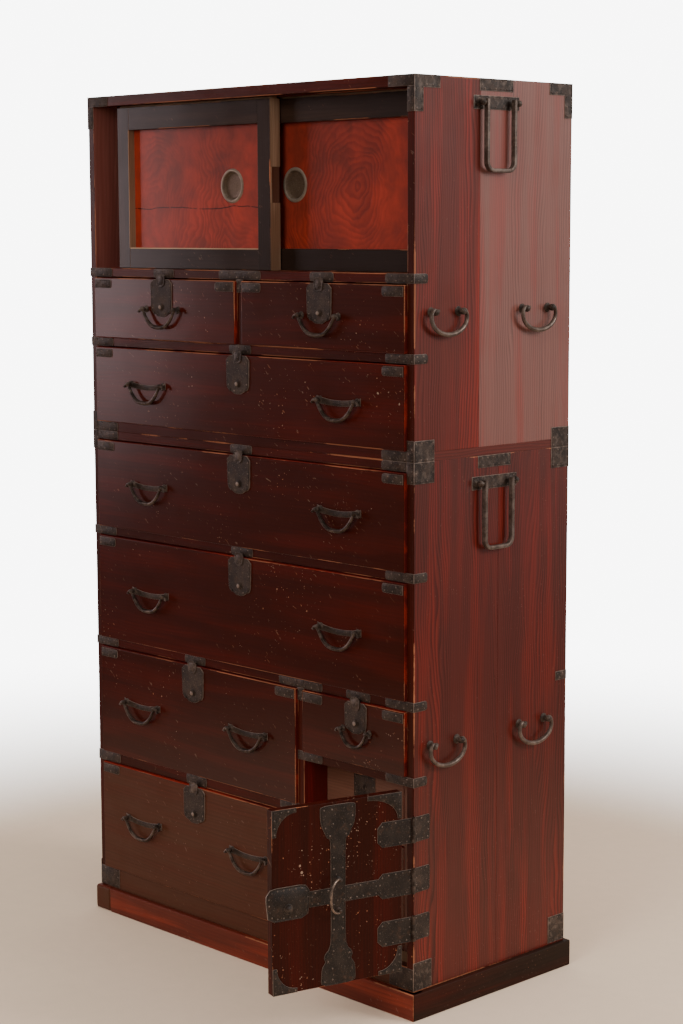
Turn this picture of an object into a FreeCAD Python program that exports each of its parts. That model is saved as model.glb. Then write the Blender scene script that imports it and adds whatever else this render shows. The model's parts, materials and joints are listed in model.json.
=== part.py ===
import FreeCAD, Part
import math
import os
from collections import namedtuple

# Two-section clothing chest of lacquered wood with forged iron fittings.
# Millimetres. X runs along the front, Y from front to back, Z up.
# The origin is the middle of the plinth's underside.

# Overall size of the two cases
CASE_WIDTH = 910.0
CASE_DEPTH = 416.0
SIDE_T = 17.0
BACK_T = 9.0
BACK_PLANKS = 4

# Plinth
PLINTH_H = 50.0
PLINTH_LIP = 10.0
PLINTH_SIDE_T = 48.0
PLINTH_FRONT_T = 30.0
PLINTH_ROUND = 11.0

# Heights of boards, rails and openings, from the plinth upwards
BASE_RAIL_H = 44.0
BASE_RAIL_T = 20.0
BASE_PANEL_T = 14.0
LEFT_LOW_OPEN = 227.0
LOW_RAIL_H = 21.0
LEFT_HIGH_OPEN = 224.0
RAIL_H = 17.0
RAIL_D = 46.0
DUST_T = 8.0
WIDE_MID_OPEN = 214.0
WIDE_TOP_OPEN = 179.0
LOWER_TOP_T = 17.0
UPPER_BASE_T = 19.0
UPPER_WIDE_OPEN = 153.0
SMALL_OPEN = 122.0
SLIDE_OPEN = 319.0
TOP_T = 20.0

# Lower case: divider, right-hand drawer and safe compartment
DIVIDER_T = 17.0
RIGHT_BAY_W = 268.0
RIGHT_SMALL_OPEN = 120.0
SAFE_RECESS = 58.0
SAFE_INNER_W = 205.0
SAFE_LINING_T = 12.0
SAFE_HIGH_OPEN = 124.0
SAFE_SHELF_T = 12.0

# Drawers
DRAWER_PROUD = 6.0
DRAWER_SEAT = 0.3
DRAWER_TOP_GAP = 2.5
DRAWER_SIDE_GAP = 1.2
DRAWER_FRONT_T = 21.0
DRAWER_SIDE_T = 11.0
DRAWER_BACK_T = 10.0
DRAWER_BOTTOM_T = 7.0
DRAWER_SIDE_DROP = 6.0
DRAWER_END_GAP = 12.0
DRAWER_ARRIS = 1.2
INNER_FRONT_T = 14.0
INNER_SIDE_T = 8.0

# Sliding doors of the top compartment
SLIDE_RECESS = 20.0
SLIDE_T = 25.0
SLIDE_APART = 3.0
SLIDE_END_GAP = 3.0
SLIDE_OVERLAP = 17.0
SLIDE_LEFT_OPEN = 48.0
SLIDE_FOOT_GAP = 0.6
SLIDE_HEAD_GAP = 3.6
SLIDE_STILE = 35.0
SLIDE_TOP_RAIL = 44.0
SLIDE_BOTTOM_RAIL = 40.0
SLIDE_PANEL_T = 7.0
SLIDE_PANEL_IN = 14.5
SLIDE_PANEL_TONGUE = 5.0
TRACK_W = 12.0
TRACK_LOW = 3.5
TRACK_HIGH = 8.5
TRACK_PLAY = 0.4
TRACK_SEAT = 0.3
PULL_R = 32.5
PULL_RIM_W = 4.0
PULL_RIM_T = 2.0
PULL_DEPTH = 6.0
PULL_WALL = 1.4
PULL_SIDES = 16
LEFT_PULL_IN = 123.0
RIGHT_PULL_IN = 104.0

# Safe door, its hinges and their pins
DOOR_T = 18.0
DOOR_GAP = 2.3
DOOR_EDGE_GAP = 4.0
DOOR_REST_DEG = 75.3
HINGE_OUT = 2.6
KNUCKLE_R = 3.2
KNUCKLES = 3
KNUCKLE_GAP = 0.4
PIN_R = 1.6
PIN_PLAY = 0.05
PIN_HEAD_T = 1.5
PIN_SIDES = 8
LEAF_CLEAR = 0.2
LEAF_H = 46.0
LEAF_REACH = 50.0
SIDE_LEAF_REACH = 43.0
LEAF_CLIP = 10.0
SIDE_LEAF_CLIP = 3.0
LEAF_LEVEL_SHARES = (0.226, 0.492, 0.776)

# Ironwork on the safe door
DOOR_STRAP_W = 29.0
DOOR_STRAP_END = 5.0
BELL_W = 71.0
TOP_BELL_H = 62.0
FOOT_BELL_H = 78.0
TOP_BELL_SHARES = ((0.5, 0.0), (0.5, 0.3), (0.47, 0.57), (0.37, 0.8), (0.31, 0.94), (0.205, 1.0))
FOOT_BELL_SHARES = (
    (0.5, 0.0),
    (0.47, 0.42),
    (0.36, 0.56),
    (0.41, 0.65),
    (0.37, 0.75),
    (0.28, 0.82),
    (0.205, 1.0),
)
DOOR_CORNER = 48.0
DOOR_CORNER_LONG = 70.0
DOOR_CORNER_END = 8.0
HOLLOW_FACETS = 4
DOOR_LOCK_W = 88.0
DOOR_LOCK_H = 60.0
DOOR_LOCK_OVER = 14.0
DOOR_LOCK_SHARES = ((-0.38, 0.5), (0.38, 0.5), (0.5, 0.27), (0.44, -0.5), (-0.44, -0.5), (-0.5, 0.27))

# Lock plates, tongues and buttons
PLATE_T = 1.2
LOCK_T = 2.4
LOCK_W = 65.0
LOCK_H = 73.0
RIGHT_LOCK_W = 57.0
RIGHT_LOCK_H = 58.0
LOCK_SHARES = (
    (0.5, 0.0),
    (0.48, -0.78),
    (0.43, -0.88),
    (0.3, -0.92),
    (0.13, -1.0),
    (-0.13, -1.0),
    (-0.3, -0.92),
    (-0.43, -0.88),
    (-0.48, -0.78),
    (-0.5, 0.0),
)
TONGUE_SHARES = ((0.5, 0.45), (0.37, 0.82), (0.14, 1.0), (-0.14, 1.0), (-0.37, 0.82), (-0.5, 0.45))
TONGUE_W = 26.0
TONGUE_RISE = 11.0
TONGUE_FOOT = 10.0
BUTTON_R = 6.0
BUTTON_H = 4.4
BUTTON_COLLAR_R = 9.0
BUTTON_UP = 19.0
INNER_LOCK = 56.0
KEYHOLE_W = 3.0
KEYHOLE_H = 9.0
STRIKE_W = 62.0

# Straps and corner plates on the cases and drawers
STRAP_W = 70.0
STRAP_WRAP = 33.0
STRAP_ROUND_SHARE = 0.24
TEE_W = 118.0
TEE_DROP = 24.0
RAIL_7_STRAP_W = 50.0
DRAWER_CORNER_W = 52.0
DRAWER_CORNER_H = 17.0
DRAWER_CORNER_IN = 3.0
CORNER_ARM = 63.0
CORNER_DROP = 63.0
SIDE_ARM = 64.0
ARM_W = 22.0
MID_STRAP_W = 88.0
SEAM_ARM = 80.0
SEAM_RISE = 38.0
SEAM_SIDE = 50.0
BASE_PLATE_W = 60.0
BASE_PLATE_H = 40.0
BASE_SIDE_W = 46.0
BASE_SIDE_H = 52.0
PATCH_W = 31.0

# Hanging bails: half the spacing of their eyes, drop, bar and stand-off
BAR_SIDES = 5
DRAWER_BAIL_HALF = 48.0
DRAWER_BAIL_DROP = 33.0
DRAWER_BAR_R = 2.7
DRAWER_BAIL_OUT = 9.0
SMALL_BAIL_HALF = 34.0
SMALL_BAIL_DROP = 27.0
SMALL_BAR_R = 2.4
SMALL_BAIL_OUT = 8.0
SAFE_BAIL_HALF = 28.0
SAFE_BAIL_REACH = 27.0
SAFE_BAR_R = 2.2
SAFE_BAIL_OUT = 7.0
SAFE_BAIL_LEAN_DEG = 25.0
INNER_PULL_HALF = 18.0
INNER_PULL_DROP = 17.0
INNER_BAR_R = 1.8
INNER_PULL_OUT = 6.0
SIDE_BAIL_HALF = 35.0
SIDE_BAIL_DROP = 40.0
SIDE_BAR_R = 3.8
SIDE_BAIL_OUT = 12.0
BOW_SHARE = 0.36
BOW_ROUND_SHARE = 0.9
SHOULDER_SHARE = 1.7
SHOULDER_ROUND_SHARE = 2.0
CURL_SHARES = (1.4, 2.4)
CURL_ROUND_SHARE = 1.6
SIDE_BOW_SHARE = 0.45
SIDE_LOW_SHARE = 0.55
SIDE_ROUND_SHARES = (0.9, 0.3)
KNOB_SHARES = ((0.5, 1.45), (2.0, 1.15))
BUTTON_CROWN_SHARE = 0.6
INNER_PULL_SHARE = 1.5
EYE_WALL = 1.8
EYE_LENGTH = 7.0
EYE_PLAY = 0.25
CREST_HALF_H = 6.5
CREST_SAG = 13.0
CREST_END = 9.0
CREST_FACETS = 4
WASHER_SIDES = 8
BUTTON_SIDES = 10

# Carrying-pole handles
POLE_EYE_HALF = 47.0
POLE_SPAN = 83.0
POLE_DROP = 124.0
POLE_BAR_W = 11.0
POLE_BAR_T = 6.0
POLE_ROUND = 14.0
POLE_PIN_R = 3.2
POLE_BALL_R = 5.2
POLE_BALL_T = 6.0
POLE_OUT = 10.0
POLE_PLATE_W = 120.0
POLE_PLATE_H = 24.0

# Places of the fittings on sides and fronts
UPPER_POLE_DOWN = 42.0
LOWER_POLE_DOWN = 49.0
SIDE_BAIL_FRONT_IN = 76.0
SIDE_BAIL_BACK_IN = 100.0
UPPER_BAIL_UP = 261.0
LOWER_BAIL_UP = 450.0
WIDE_BAIL_IN = 166.0
LEFT_BAIL_IN = 134.5
RIGHT_FITTING_X = 11.0
MIDDLE_SHARE = 0.5
RIGHT_SMALL_SHARE = 0.54
UPPER_WIDE_SHARE = 0.525
WIDE_TOP_SHARE = 0.532
WIDE_MID_SHARE = 0.51
LEFT_HIGH_SHARE = 0.52
LEFT_LOW_SHARE = 0.535

# Quarter turn that sets a fitting on a side
SIDE_TURN_DEG = 90.0

# One allowance for cuts that run past a face
OVERRUN = 2.0

V = FreeCAD.Vector
ORIGIN = V(0, 0, 0)
X_AXIS = V(1, 0, 0)
Y_AXIS = V(0, 1, 0)
Z_AXIS = V(0, 0, 1)

# Planes shared by both cases
HALF = CASE_WIDTH / 2
INNER = HALF - SIDE_T
FRONT = -CASE_DEPTH / 2
BACK = CASE_DEPTH / 2
BACK_IN = BACK - BACK_T
HALF_DIVIDER = DIVIDER_T / 2

# Levels of the lower case
BASE_TOP = PLINTH_H + BASE_RAIL_H
RAIL_6_Z = BASE_TOP + LEFT_LOW_OPEN
LEFT_HIGH_Z = RAIL_6_Z + LOW_RAIL_H
RAIL_5_Z = LEFT_HIGH_Z + LEFT_HIGH_OPEN
WIDE_MID_Z = RAIL_5_Z + RAIL_H
RAIL_4_Z = WIDE_MID_Z + WIDE_MID_OPEN
WIDE_TOP_Z = RAIL_4_Z + RAIL_H
LOWER_TOP_Z = WIDE_TOP_Z + WIDE_TOP_OPEN
SEAM_Z = LOWER_TOP_Z + LOWER_TOP_T
RIGHT_SMALL_Z = RAIL_5_Z - RIGHT_SMALL_OPEN
RAIL_7_Z = RIGHT_SMALL_Z - RAIL_H
DIVIDER_END = INNER - RIGHT_BAY_W
DIVIDER_X = DIVIDER_END - DIVIDER_T

# Levels of the upper case
UPPER_WIDE_Z = SEAM_Z + UPPER_BASE_T
RAIL_2_Z = UPPER_WIDE_Z + UPPER_WIDE_OPEN
SMALL_Z = RAIL_2_Z + RAIL_H
SHELF_Z = SMALL_Z + SMALL_OPEN
SLIDE_Z = SHELF_Z + RAIL_H
TOP_BOARD_Z = SLIDE_Z + SLIDE_OPEN
TOP_Z = TOP_BOARD_Z + TOP_T

# Safe compartment and its door
SAFE_FRONT = FRONT + SAFE_RECESS
SAFE_END = DIVIDER_END + SAFE_INNER_W
SAFE_MID_X = (DIVIDER_END + SAFE_END) / 2
SAFE_HIGH_Z = RAIL_7_Z - SAFE_HIGH_OPEN
SAFE_SHELF_Z = SAFE_HIGH_Z - SAFE_SHELF_T
HINGE = V(HALF + HINGE_OUT, FRONT - HINGE_OUT, 0)
DOOR_X0 = DIVIDER_END + DOOR_EDGE_GAP
DOOR_X1 = INNER - DOOR_EDGE_GAP
DOOR_Z0 = BASE_TOP + DOOR_GAP
DOOR_Z1 = RAIL_7_Z - DOOR_GAP
DOOR_MID_X = (DOOR_X0 + DOOR_X1) / 2
LEAF_LEVELS = [DOOR_Z0 + share * (DOOR_Z1 - DOOR_Z0) for share in LEAF_LEVEL_SHARES]
CROSS_Z = LEAF_LEVELS[1]

# Sliding doors
SLIDE_W = INNER - SLIDE_END_GAP + SLIDE_OVERLAP
SLIDE_FRONT_Y = FRONT + SLIDE_RECESS
SLIDE_REAR_Y = SLIDE_FRONT_Y + SLIDE_T + SLIDE_APART
SLIDE_LEFT_X = SLIDE_END_GAP + SLIDE_LEFT_OPEN - INNER
SLIDE_RIGHT_X = INNER - SLIDE_END_GAP - SLIDE_W
SLIDE_FOOT = SLIDE_Z + SLIDE_FOOT_GAP
SLIDE_HEAD = TOP_BOARD_Z - SLIDE_HEAD_GAP
PULL_Z = (SLIDE_FOOT + SLIDE_HEAD) / 2
LEFT_PULL_X = SLIDE_LEFT_X + SLIDE_W - LEFT_PULL_IN
RIGHT_PULL_X = SLIDE_RIGHT_X + RIGHT_PULL_IN

# Where the pole handles and side bails hang
UPPER_POLE_Z = TOP_Z - UPPER_POLE_DOWN
LOWER_POLE_Z = SEAM_Z - LOWER_POLE_DOWN
UPPER_BAIL_Z = SEAM_Z + UPPER_BAIL_UP
LOWER_BAIL_Z = PLINTH_H + LOWER_BAIL_UP
SIDE_BAIL_X = HALF + SIDE_BAIL_OUT
FRONT_BAIL_Y = FRONT + SIDE_BAIL_FRONT_IN
BACK_BAIL_Y = BACK - SIDE_BAIL_BACK_IN
POLE_X = HALF + PLATE_T + POLE_OUT

# A bail's measures, and a drawer's opening with the places of its fittings
Bail = namedtuple("Bail", "half drop bar out")
Drawer = namedtuple("Drawer", "x0 x1 z0 z1 lock shift bail_in level_share bail crest")

DRAWER_BAIL = Bail(DRAWER_BAIL_HALF, DRAWER_BAIL_DROP, DRAWER_BAR_R, DRAWER_BAIL_OUT)
SMALL_BAIL = Bail(SMALL_BAIL_HALF, SMALL_BAIL_DROP, SMALL_BAR_R, SMALL_BAIL_OUT)
SAFE_BAIL = Bail(SAFE_BAIL_HALF, SAFE_BAIL_REACH, SAFE_BAR_R, SAFE_BAIL_OUT)
INNER_PULL = Bail(INNER_PULL_HALF, INNER_PULL_DROP, INNER_BAR_R, INNER_PULL_OUT)
SIDE_BAIL = Bail(SIDE_BAIL_HALF, SIDE_BAIL_DROP, SIDE_BAR_R, SIDE_BAIL_OUT)
POLE_EYES = Bail(POLE_EYE_HALF, POLE_DROP, POLE_PIN_R, POLE_OUT)

LOCK = (LOCK_W, LOCK_H)
RIGHT_LOCK = (RIGHT_LOCK_W, RIGHT_LOCK_H)

SMALL_LEFT_BOX = (-INNER, -HALF_DIVIDER, SMALL_Z, SHELF_Z)
SMALL_RIGHT_BOX = (HALF_DIVIDER, INNER, SMALL_Z, SHELF_Z)
UPPER_WIDE_BOX = (-INNER, INNER, UPPER_WIDE_Z, RAIL_2_Z)
WIDE_TOP_BOX = (-INNER, INNER, WIDE_TOP_Z, LOWER_TOP_Z)
WIDE_MID_BOX = (-INNER, INNER, WIDE_MID_Z, RAIL_4_Z)
LEFT_HIGH_BOX = (-INNER, DIVIDER_X, LEFT_HIGH_Z, RAIL_5_Z)
LEFT_LOW_BOX = (-INNER, DIVIDER_X, BASE_TOP, RAIL_6_Z)
RIGHT_SMALL_BOX = (DIVIDER_END, INNER, RIGHT_SMALL_Z, RAIL_5_Z)

DRAWERS = {
    "drawer_small_left": Drawer(*SMALL_LEFT_BOX, LOCK, 0, 0, MIDDLE_SHARE, DRAWER_BAIL, False),
    "drawer_small_right": Drawer(*SMALL_RIGHT_BOX, LOCK, 0, 0, MIDDLE_SHARE, DRAWER_BAIL, False),
    "drawer_upper_wide": Drawer(*UPPER_WIDE_BOX, LOCK, 0, WIDE_BAIL_IN, UPPER_WIDE_SHARE, DRAWER_BAIL, True),
    "drawer_wide_top": Drawer(*WIDE_TOP_BOX, LOCK, 0, WIDE_BAIL_IN, WIDE_TOP_SHARE, DRAWER_BAIL, True),
    "drawer_wide_middle": Drawer(*WIDE_MID_BOX, LOCK, 0, WIDE_BAIL_IN, WIDE_MID_SHARE, DRAWER_BAIL, True),
    "drawer_left_high": Drawer(*LEFT_HIGH_BOX, LOCK, 0, LEFT_BAIL_IN, LEFT_HIGH_SHARE, DRAWER_BAIL, True),
    "drawer_left_low": Drawer(*LEFT_LOW_BOX, LOCK, 0, LEFT_BAIL_IN, LEFT_LOW_SHARE, DRAWER_BAIL, True),
    "drawer_right_small": Drawer(
        *RIGHT_SMALL_BOX, RIGHT_LOCK, RIGHT_FITTING_X, 0, RIGHT_SMALL_SHARE, SMALL_BAIL, False
    ),
}

INNER_DRAWERS = {
    "safe_drawer_high": (SAFE_HIGH_Z, RAIL_7_Z),
    "safe_drawer_low": (BASE_TOP, SAFE_SHELF_Z),
}


def board(x0, x1, y0, y1, z0, z1):
    """A straight board between two corners."""
    return Part.makeBox(x1 - x0, y1 - y0, z1 - z0, V(x0, y0, z0))


def front_plate(x0, x1, z0, z1, y=FRONT):
    """A thin plate on a face that looks forward."""
    return board(x0, x1, y - PLATE_T, y, z0, z1)


def side_plate(y0, y1, z0, z1):
    """A thin plate on the right-hand side of the chest."""
    return board(HALF, HALF + PLATE_T, y0, y1, z0, z1)


def mirrored(shape):
    """The same piece on the other side of the middle."""
    return shape.mirror(ORIGIN, X_AXIS)


def both_sides(shapes):
    """Pieces of the right-hand side together with their images on the left."""
    return shapes + [mirrored(shape) for shape in shapes]


def placed(shape, x, y, z, turn=0):
    """A fitting drawn facing -Y about the origin, turned about Z and set at a point."""
    copy = shape.copy()
    copy.rotate(ORIGIN, Z_AXIS, turn)
    copy.translate(V(x, y, z))
    return copy


def swung_open(shape):
    """A piece of the closed safe door carried round to the angle it stands at."""
    copy = shape.copy()
    copy.rotate(HINGE, Z_AXIS, DOOR_REST_DEG)
    return copy


def save(name, shapes):
    """Writes one sub-part, which may be several solids side by side."""
    solids = []
    for shape in shapes:
        solids.extend(shape.Solids)
    Part.makeCompound(solids).exportStep("parts/" + name + ".step")


def extruded(corners, way):
    """The flat outline through some corners, drawn out along a vector."""
    return Part.Face(Part.makePolygon(corners + corners[0:1])).extrude(way)


def outline_plate(points, thickness):
    """A plate cut to an outline in X and Z, its back on y = 0, facing -Y."""
    return extruded([V(x, 0, z) for x, z in points], V(0, -thickness, 0))


def scaled(shares, width, height):
    """The points of an outline whose table holds shares of a width and a height."""
    return [(across * width, up * height) for across, up in shares]


def round_strap(x0, x1, z0, z1, left=False, right=True):
    """A strap whose corners are cut back at one end or at both."""
    cut = (z1 - z0) * STRAP_ROUND_SHARE
    right_end = [(x1 - cut, z0), (x1, z0 + cut), (x1, z1 - cut), (x1 - cut, z1)]
    left_end = [(x0 + cut, z1), (x0, z1 - cut), (x0, z0 + cut), (x0 + cut, z0)]
    points = right_end if right else [(x1, z0), (x1, z1)]
    points = points + (left_end if left else [(x0, z1), (x0, z0)])
    return outline_plate(points, PLATE_T)


def bowed(x0, x1, z, sag, facets):
    """Points from x0 to x1 along a shallow curve that hangs by the sag in the middle."""
    points = []
    for index in range(facets + 1):
        share = index / facets
        points.append((x0 + (x1 - x0) * share, z - sag * math.sin(math.pi * share)))
    return points


def upright_bar(radius, length, z):
    """A round bar standing on a level about the Z axis, drawn in flat facets."""
    bar = prism(radius, PIN_SIDES, length)
    bar.rotate(ORIGIN, Y_AXIS, -90)
    return placed(bar, 0, 0, z)


def ring_points(radius, sides, y):
    """The corners of a regular outline about the Y axis."""
    corners = []
    for index in range(sides):
        angle = 2 * math.pi * index / sides
        corners.append(V(radius * math.cos(angle), y, radius * math.sin(angle)))
    return corners


def prism(radius, sides, length):
    """A faceted bar along X from the origin, its corners on the radius."""
    return placed(extruded(ring_points(radius, sides, 0), V(0, -length, 0)), 0, 0, 0, 90)


def skinned(sections):
    """A solid with flat faces through a row of sections that have the same number of corners."""
    faces = [Part.Face(Part.makePolygon(section + section[0:1])) for section in (sections[0], sections[-1])]
    for near, far in zip(sections, sections[1:]):
        for index in range(len(near)):
            one, other = near[index - 1], near[index]
            faces.append(Part.Face(Part.makePolygon([one, other, far[index], one])))
            faces.append(Part.Face(Part.makePolygon([one, far[index], far[index - 1], one])))
    solid = Part.Solid(Part.makeShell(faces))
    solid.fix(0, 0, 0)
    return solid.removeSplitter()


def tapered(rings, sides):
    """A faceted round solid about the Y axis through rings of a radius and a level."""
    return skinned([ring_points(radius, sides, y) for radius, y in rings])


def rounded_line(points, bends):
    """Points in X and Z along straight runs whose corners are rounded off.

    Each bend is a radius and the number of straight facets that follow it.
    """
    line = [V(points[0][0], 0, points[0][1])]
    for index, (radius, facets) in enumerate(bends):
        corner = V(points[index + 1][0], 0, points[index + 1][1])
        before = V(points[index][0], 0, points[index][1]) - corner
        after = V(points[index + 2][0], 0, points[index + 2][1]) - corner
        before.normalize()
        after.normalize()
        half_angle = before.getAngle(after) / 2
        bisector = before + after
        bisector.normalize()
        centre = corner + bisector * (radius / math.sin(half_angle))
        first = corner + before * (radius / math.tan(half_angle)) - centre
        axis = before.cross(after).normalize()
        turn = math.pi - 2 * half_angle
        for step in range(facets + 1):
            angle = -turn * step / facets
            line.append(centre + first * math.cos(angle) + axis.cross(first) * math.sin(angle))
    line.append(V(points[-1][0], 0, points[-1][1]))
    return line


def mitre(before, after):
    """The way across a bar that runs in along one direction and out along another."""
    along = (before + after).normalize()
    return along.cross(Y_AXIS) * (1 / along.dot(before))


def bar_along(line, radius):
    """A faceted forged bar along points in X and Z, with a knob drawn out at either end."""
    start_way = (line[0] - line[1]).normalize()
    end_way = (line[-1] - line[-2]).normalize()
    head = [(line[0] + start_way * (radius * far), radius * size) for far, size in reversed(KNOB_SHARES)]
    tail = [(line[-1] + end_way * (radius * far), radius * size) for far, size in KNOB_SHARES]
    places = head + [(point, radius) for point in line] + tail
    ways = [(places[index + 1][0] - places[index][0]).normalize() for index in range(len(places) - 1)]
    sections = []
    for (point, size), before, after in zip(places, ways[0:1] + ways, ways + ways[-1:]):
        across = mitre(before, after)
        corners = []
        for side in range(BAR_SIDES):
            angle = 2 * math.pi * side / BAR_SIDES
            corners.append(point + Y_AXIS * (size * math.cos(angle)) + across * (size * math.sin(angle)))
        sections.append(corners)
    return skinned(sections)


def mirrored_line(right, bends):
    """The rounded line through points on the right and their images on the left."""
    left = [(-x, z) for x, z in reversed(right)]
    return rounded_line(left + right, bends[::-1] + bends)


def hanging_bail(bail):
    """A drawer bail: a bow below two eyes, its ends curled outwards and down."""
    reach = EYE_LENGTH / 2 + bail.bar * SHOULDER_SHARE
    out, down = (bail.bar * share for share in CURL_SHARES)
    bow = bail.half * BOW_SHARE
    inner = bail.half - reach
    outer = bail.half + reach
    slope = math.atan2(bail.drop, inner - bow)
    bow_round = bow * BOW_ROUND_SHARE / math.tan(slope / 2)
    right = [(bow, -bail.drop), (inner, 0), (outer, 0), (outer + out, -down)]
    bends = [(bow_round, 2), (bail.bar * SHOULDER_ROUND_SHARE, 1), (bail.bar * CURL_ROUND_SHARE, 1)]
    return bar_along(mirrored_line(right, bends), bail.bar)


def bowed_bail(bail):
    """A side bail: a round bow wider than its eyes, its ends turned inwards through them."""
    wide = bail.half + EYE_LENGTH / 2 + bail.bar * SHOULDER_SHARE
    tip_x = bail.half - EYE_LENGTH / 2 - bail.bar / 4
    bow = bail.half * SIDE_BOW_SHARE
    right = [(bow, -bail.drop), (wide, -bail.drop * SIDE_LOW_SHARE), (wide, 0), (tip_x, 0)]
    low, high = (bail.half * share for share in SIDE_ROUND_SHARES)
    bends = [(low, 1), (high, 2), (bail.bar * CURL_ROUND_SHARE, 2)]
    return bar_along(mirrored_line(right, bends), bail.bar)


def pole_handle():
    """A carrying-pole handle: a flat bar bent to a U, with pins that turn in two eyes."""
    outer = POLE_SPAN / 2
    inner = outer - POLE_BAR_W
    top = POLE_BAR_W / 2
    floor = POLE_BAR_W - POLE_DROP
    bends = [(POLE_ROUND, 4), (POLE_ROUND, 4)]
    tight = [(POLE_ROUND / 2, 2), (POLE_ROUND / 2, 2)]
    around = [(-outer, top), (-outer, -POLE_DROP), (outer, -POLE_DROP), (outer, top)]
    within = [(inner, top), (inner, floor), (-inner, floor), (-inner, top)]
    corners = rounded_line(around, bends) + rounded_line(within, tight)
    bar = extruded(corners, V(0, -POLE_BAR_T, 0))
    bar.translate(V(0, POLE_BAR_T / 2, 0))
    pin_end = POLE_EYE_HALF + EYE_LENGTH
    middle = (inner + outer) / 2
    for turn in (0, 180):
        pin = prism(POLE_PIN_R, BAR_SIDES, pin_end - middle)
        pin.translate(V(middle, 0, 0))
        ball = prism(POLE_BALL_R, BAR_SIDES, POLE_BALL_T)
        ball.translate(V(pin_end, 0, 0))
        fitting = pin.fuse(ball)
        fitting.rotate(ORIGIN, Z_AXIS, turn)
        bar = bar.fuse(fitting)
    return bar.removeSplitter()


def eye_post(bail):
    """A post standing out of a face at y = 0 with a hole along X for a bail's bar."""
    hole = (bail.bar + EYE_PLAY) / math.cos(math.pi / BAR_SIDES)
    wall = hole + EYE_WALL
    crown = bail.out + wall
    upper = [(0, wall), (-bail.out, wall), (-crown, wall / 2)]
    lower = [(y, -z) for y, z in reversed(upper)]
    cheek = extruded([V(0, y, z) for y, z in upper + lower], V(EYE_LENGTH, 0, 0))
    bore = prism(hole, BAR_SIDES, EYE_LENGTH + 2 * OVERRUN)
    bore.translate(V(-OVERRUN, -bail.out, 0))
    post = cheek.cut(bore)
    post.translate(V(-EYE_LENGTH / 2, 0, 0))
    return post


def eye_pair(bail, lift=0):
    """The two posts that a bail hangs from."""
    return [placed(eye_post(bail), x, -lift, 0) for x in (-bail.half, bail.half)]


def crest_plate(bail):
    """The curved plate behind a drawer bail, sagging between its two posts."""
    end = bail.half + CREST_END
    upper = bowed(-end, end, CREST_HALF_H, CREST_SAG, CREST_FACETS)
    lower = bowed(end, -end, -CREST_HALF_H, CREST_SAG, CREST_FACETS)
    return outline_plate(upper + lower, PLATE_T)


def washers(bail):
    """Two small eight-sided washers, one behind each post."""
    shapes = []
    for x in (-bail.half, bail.half):
        washer = prism(CREST_END, WASHER_SIDES, PLATE_T)
        shapes.append(placed(placed(washer, 0, 0, 0, -90), x, 0, 0))
    return shapes


def bail_seat(bail, crest):
    """What a drawer bail hangs from, on its curved back plate or two washers."""
    plates = [crest_plate(bail)] if crest else washers(bail)
    return plates + eye_pair(bail, PLATE_T)


def lock_button():
    """A push button with sloping sides on a collar, standing on y = 0."""
    collar = placed(prism(BUTTON_COLLAR_R, BUTTON_SIDES, PLATE_T), 0, 0, 0, -90)
    crown = (BUTTON_R * BUTTON_CROWN_SHARE, -BUTTON_H)
    return collar.fuse(tapered([(BUTTON_R, -PLATE_T), crown], BUTTON_SIDES)).removeSplitter()


def lock_set(width, height):
    """A drawer lock hanging from z = 0: its plate, tongue and button."""
    plate = outline_plate(scaled(LOCK_SHARES, width, height), LOCK_T)
    head = scaled(TONGUE_SHARES, TONGUE_W, TONGUE_RISE)
    foot = [(-TONGUE_W / 2, -TONGUE_FOOT), (TONGUE_W / 2, -TONGUE_FOOT)]
    tongue = outline_plate(head + foot, PLATE_T)
    tongue.translate(V(0, -LOCK_T, 0))
    button = lock_button()
    button.translate(V(0, -LOCK_T, BUTTON_UP - height))
    return [plate, tongue, button]


def drawer_box(x0, x1, z0, z1, front_y, front_t, side_t):
    """A drawer's five boards: front, two sides, back and bottom."""
    left = x0 + DRAWER_SIDE_GAP
    right = x1 - DRAWER_SIDE_GAP
    low = z0 + DRAWER_SEAT
    high = z1 - DRAWER_TOP_GAP
    inside = front_y + front_t
    end = BACK_IN - DRAWER_END_GAP
    side_high = high - DRAWER_SIDE_DROP
    face = board(left, right, front_y, inside, low, high)
    arrises = [edge for edge in face.Edges if edge.BoundBox.YMax < front_y + DRAWER_ARRIS]
    shapes = [face.makeChamfer(DRAWER_ARRIS, arrises)]
    shapes.append(board(left, left + side_t, inside, end, low, side_high))
    shapes.append(board(right - side_t, right, inside, end, low, side_high))
    back_in = end - DRAWER_BACK_T
    shapes.append(board(left + side_t, right - side_t, back_in, end, low, side_high))
    shapes.append(board(left + side_t, right - side_t, inside, back_in, low, low + DRAWER_BOTTOM_T))
    return shapes


def bail_places(drawer):
    """Where the bails of a drawer hang: one in the middle, or one in from either end."""
    middle = (drawer.x0 + drawer.x1) / 2 + drawer.shift
    out = (drawer.x1 - drawer.x0) / 2 - drawer.bail_in
    level = drawer.z0 + drawer.level_share * (drawer.z1 - drawer.z0)
    y = FRONT - DRAWER_PROUD - PLATE_T - drawer.bail.out
    return [(middle + x, y, level) for x in ((-out, out) if drawer.bail_in else (0,))]


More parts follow.
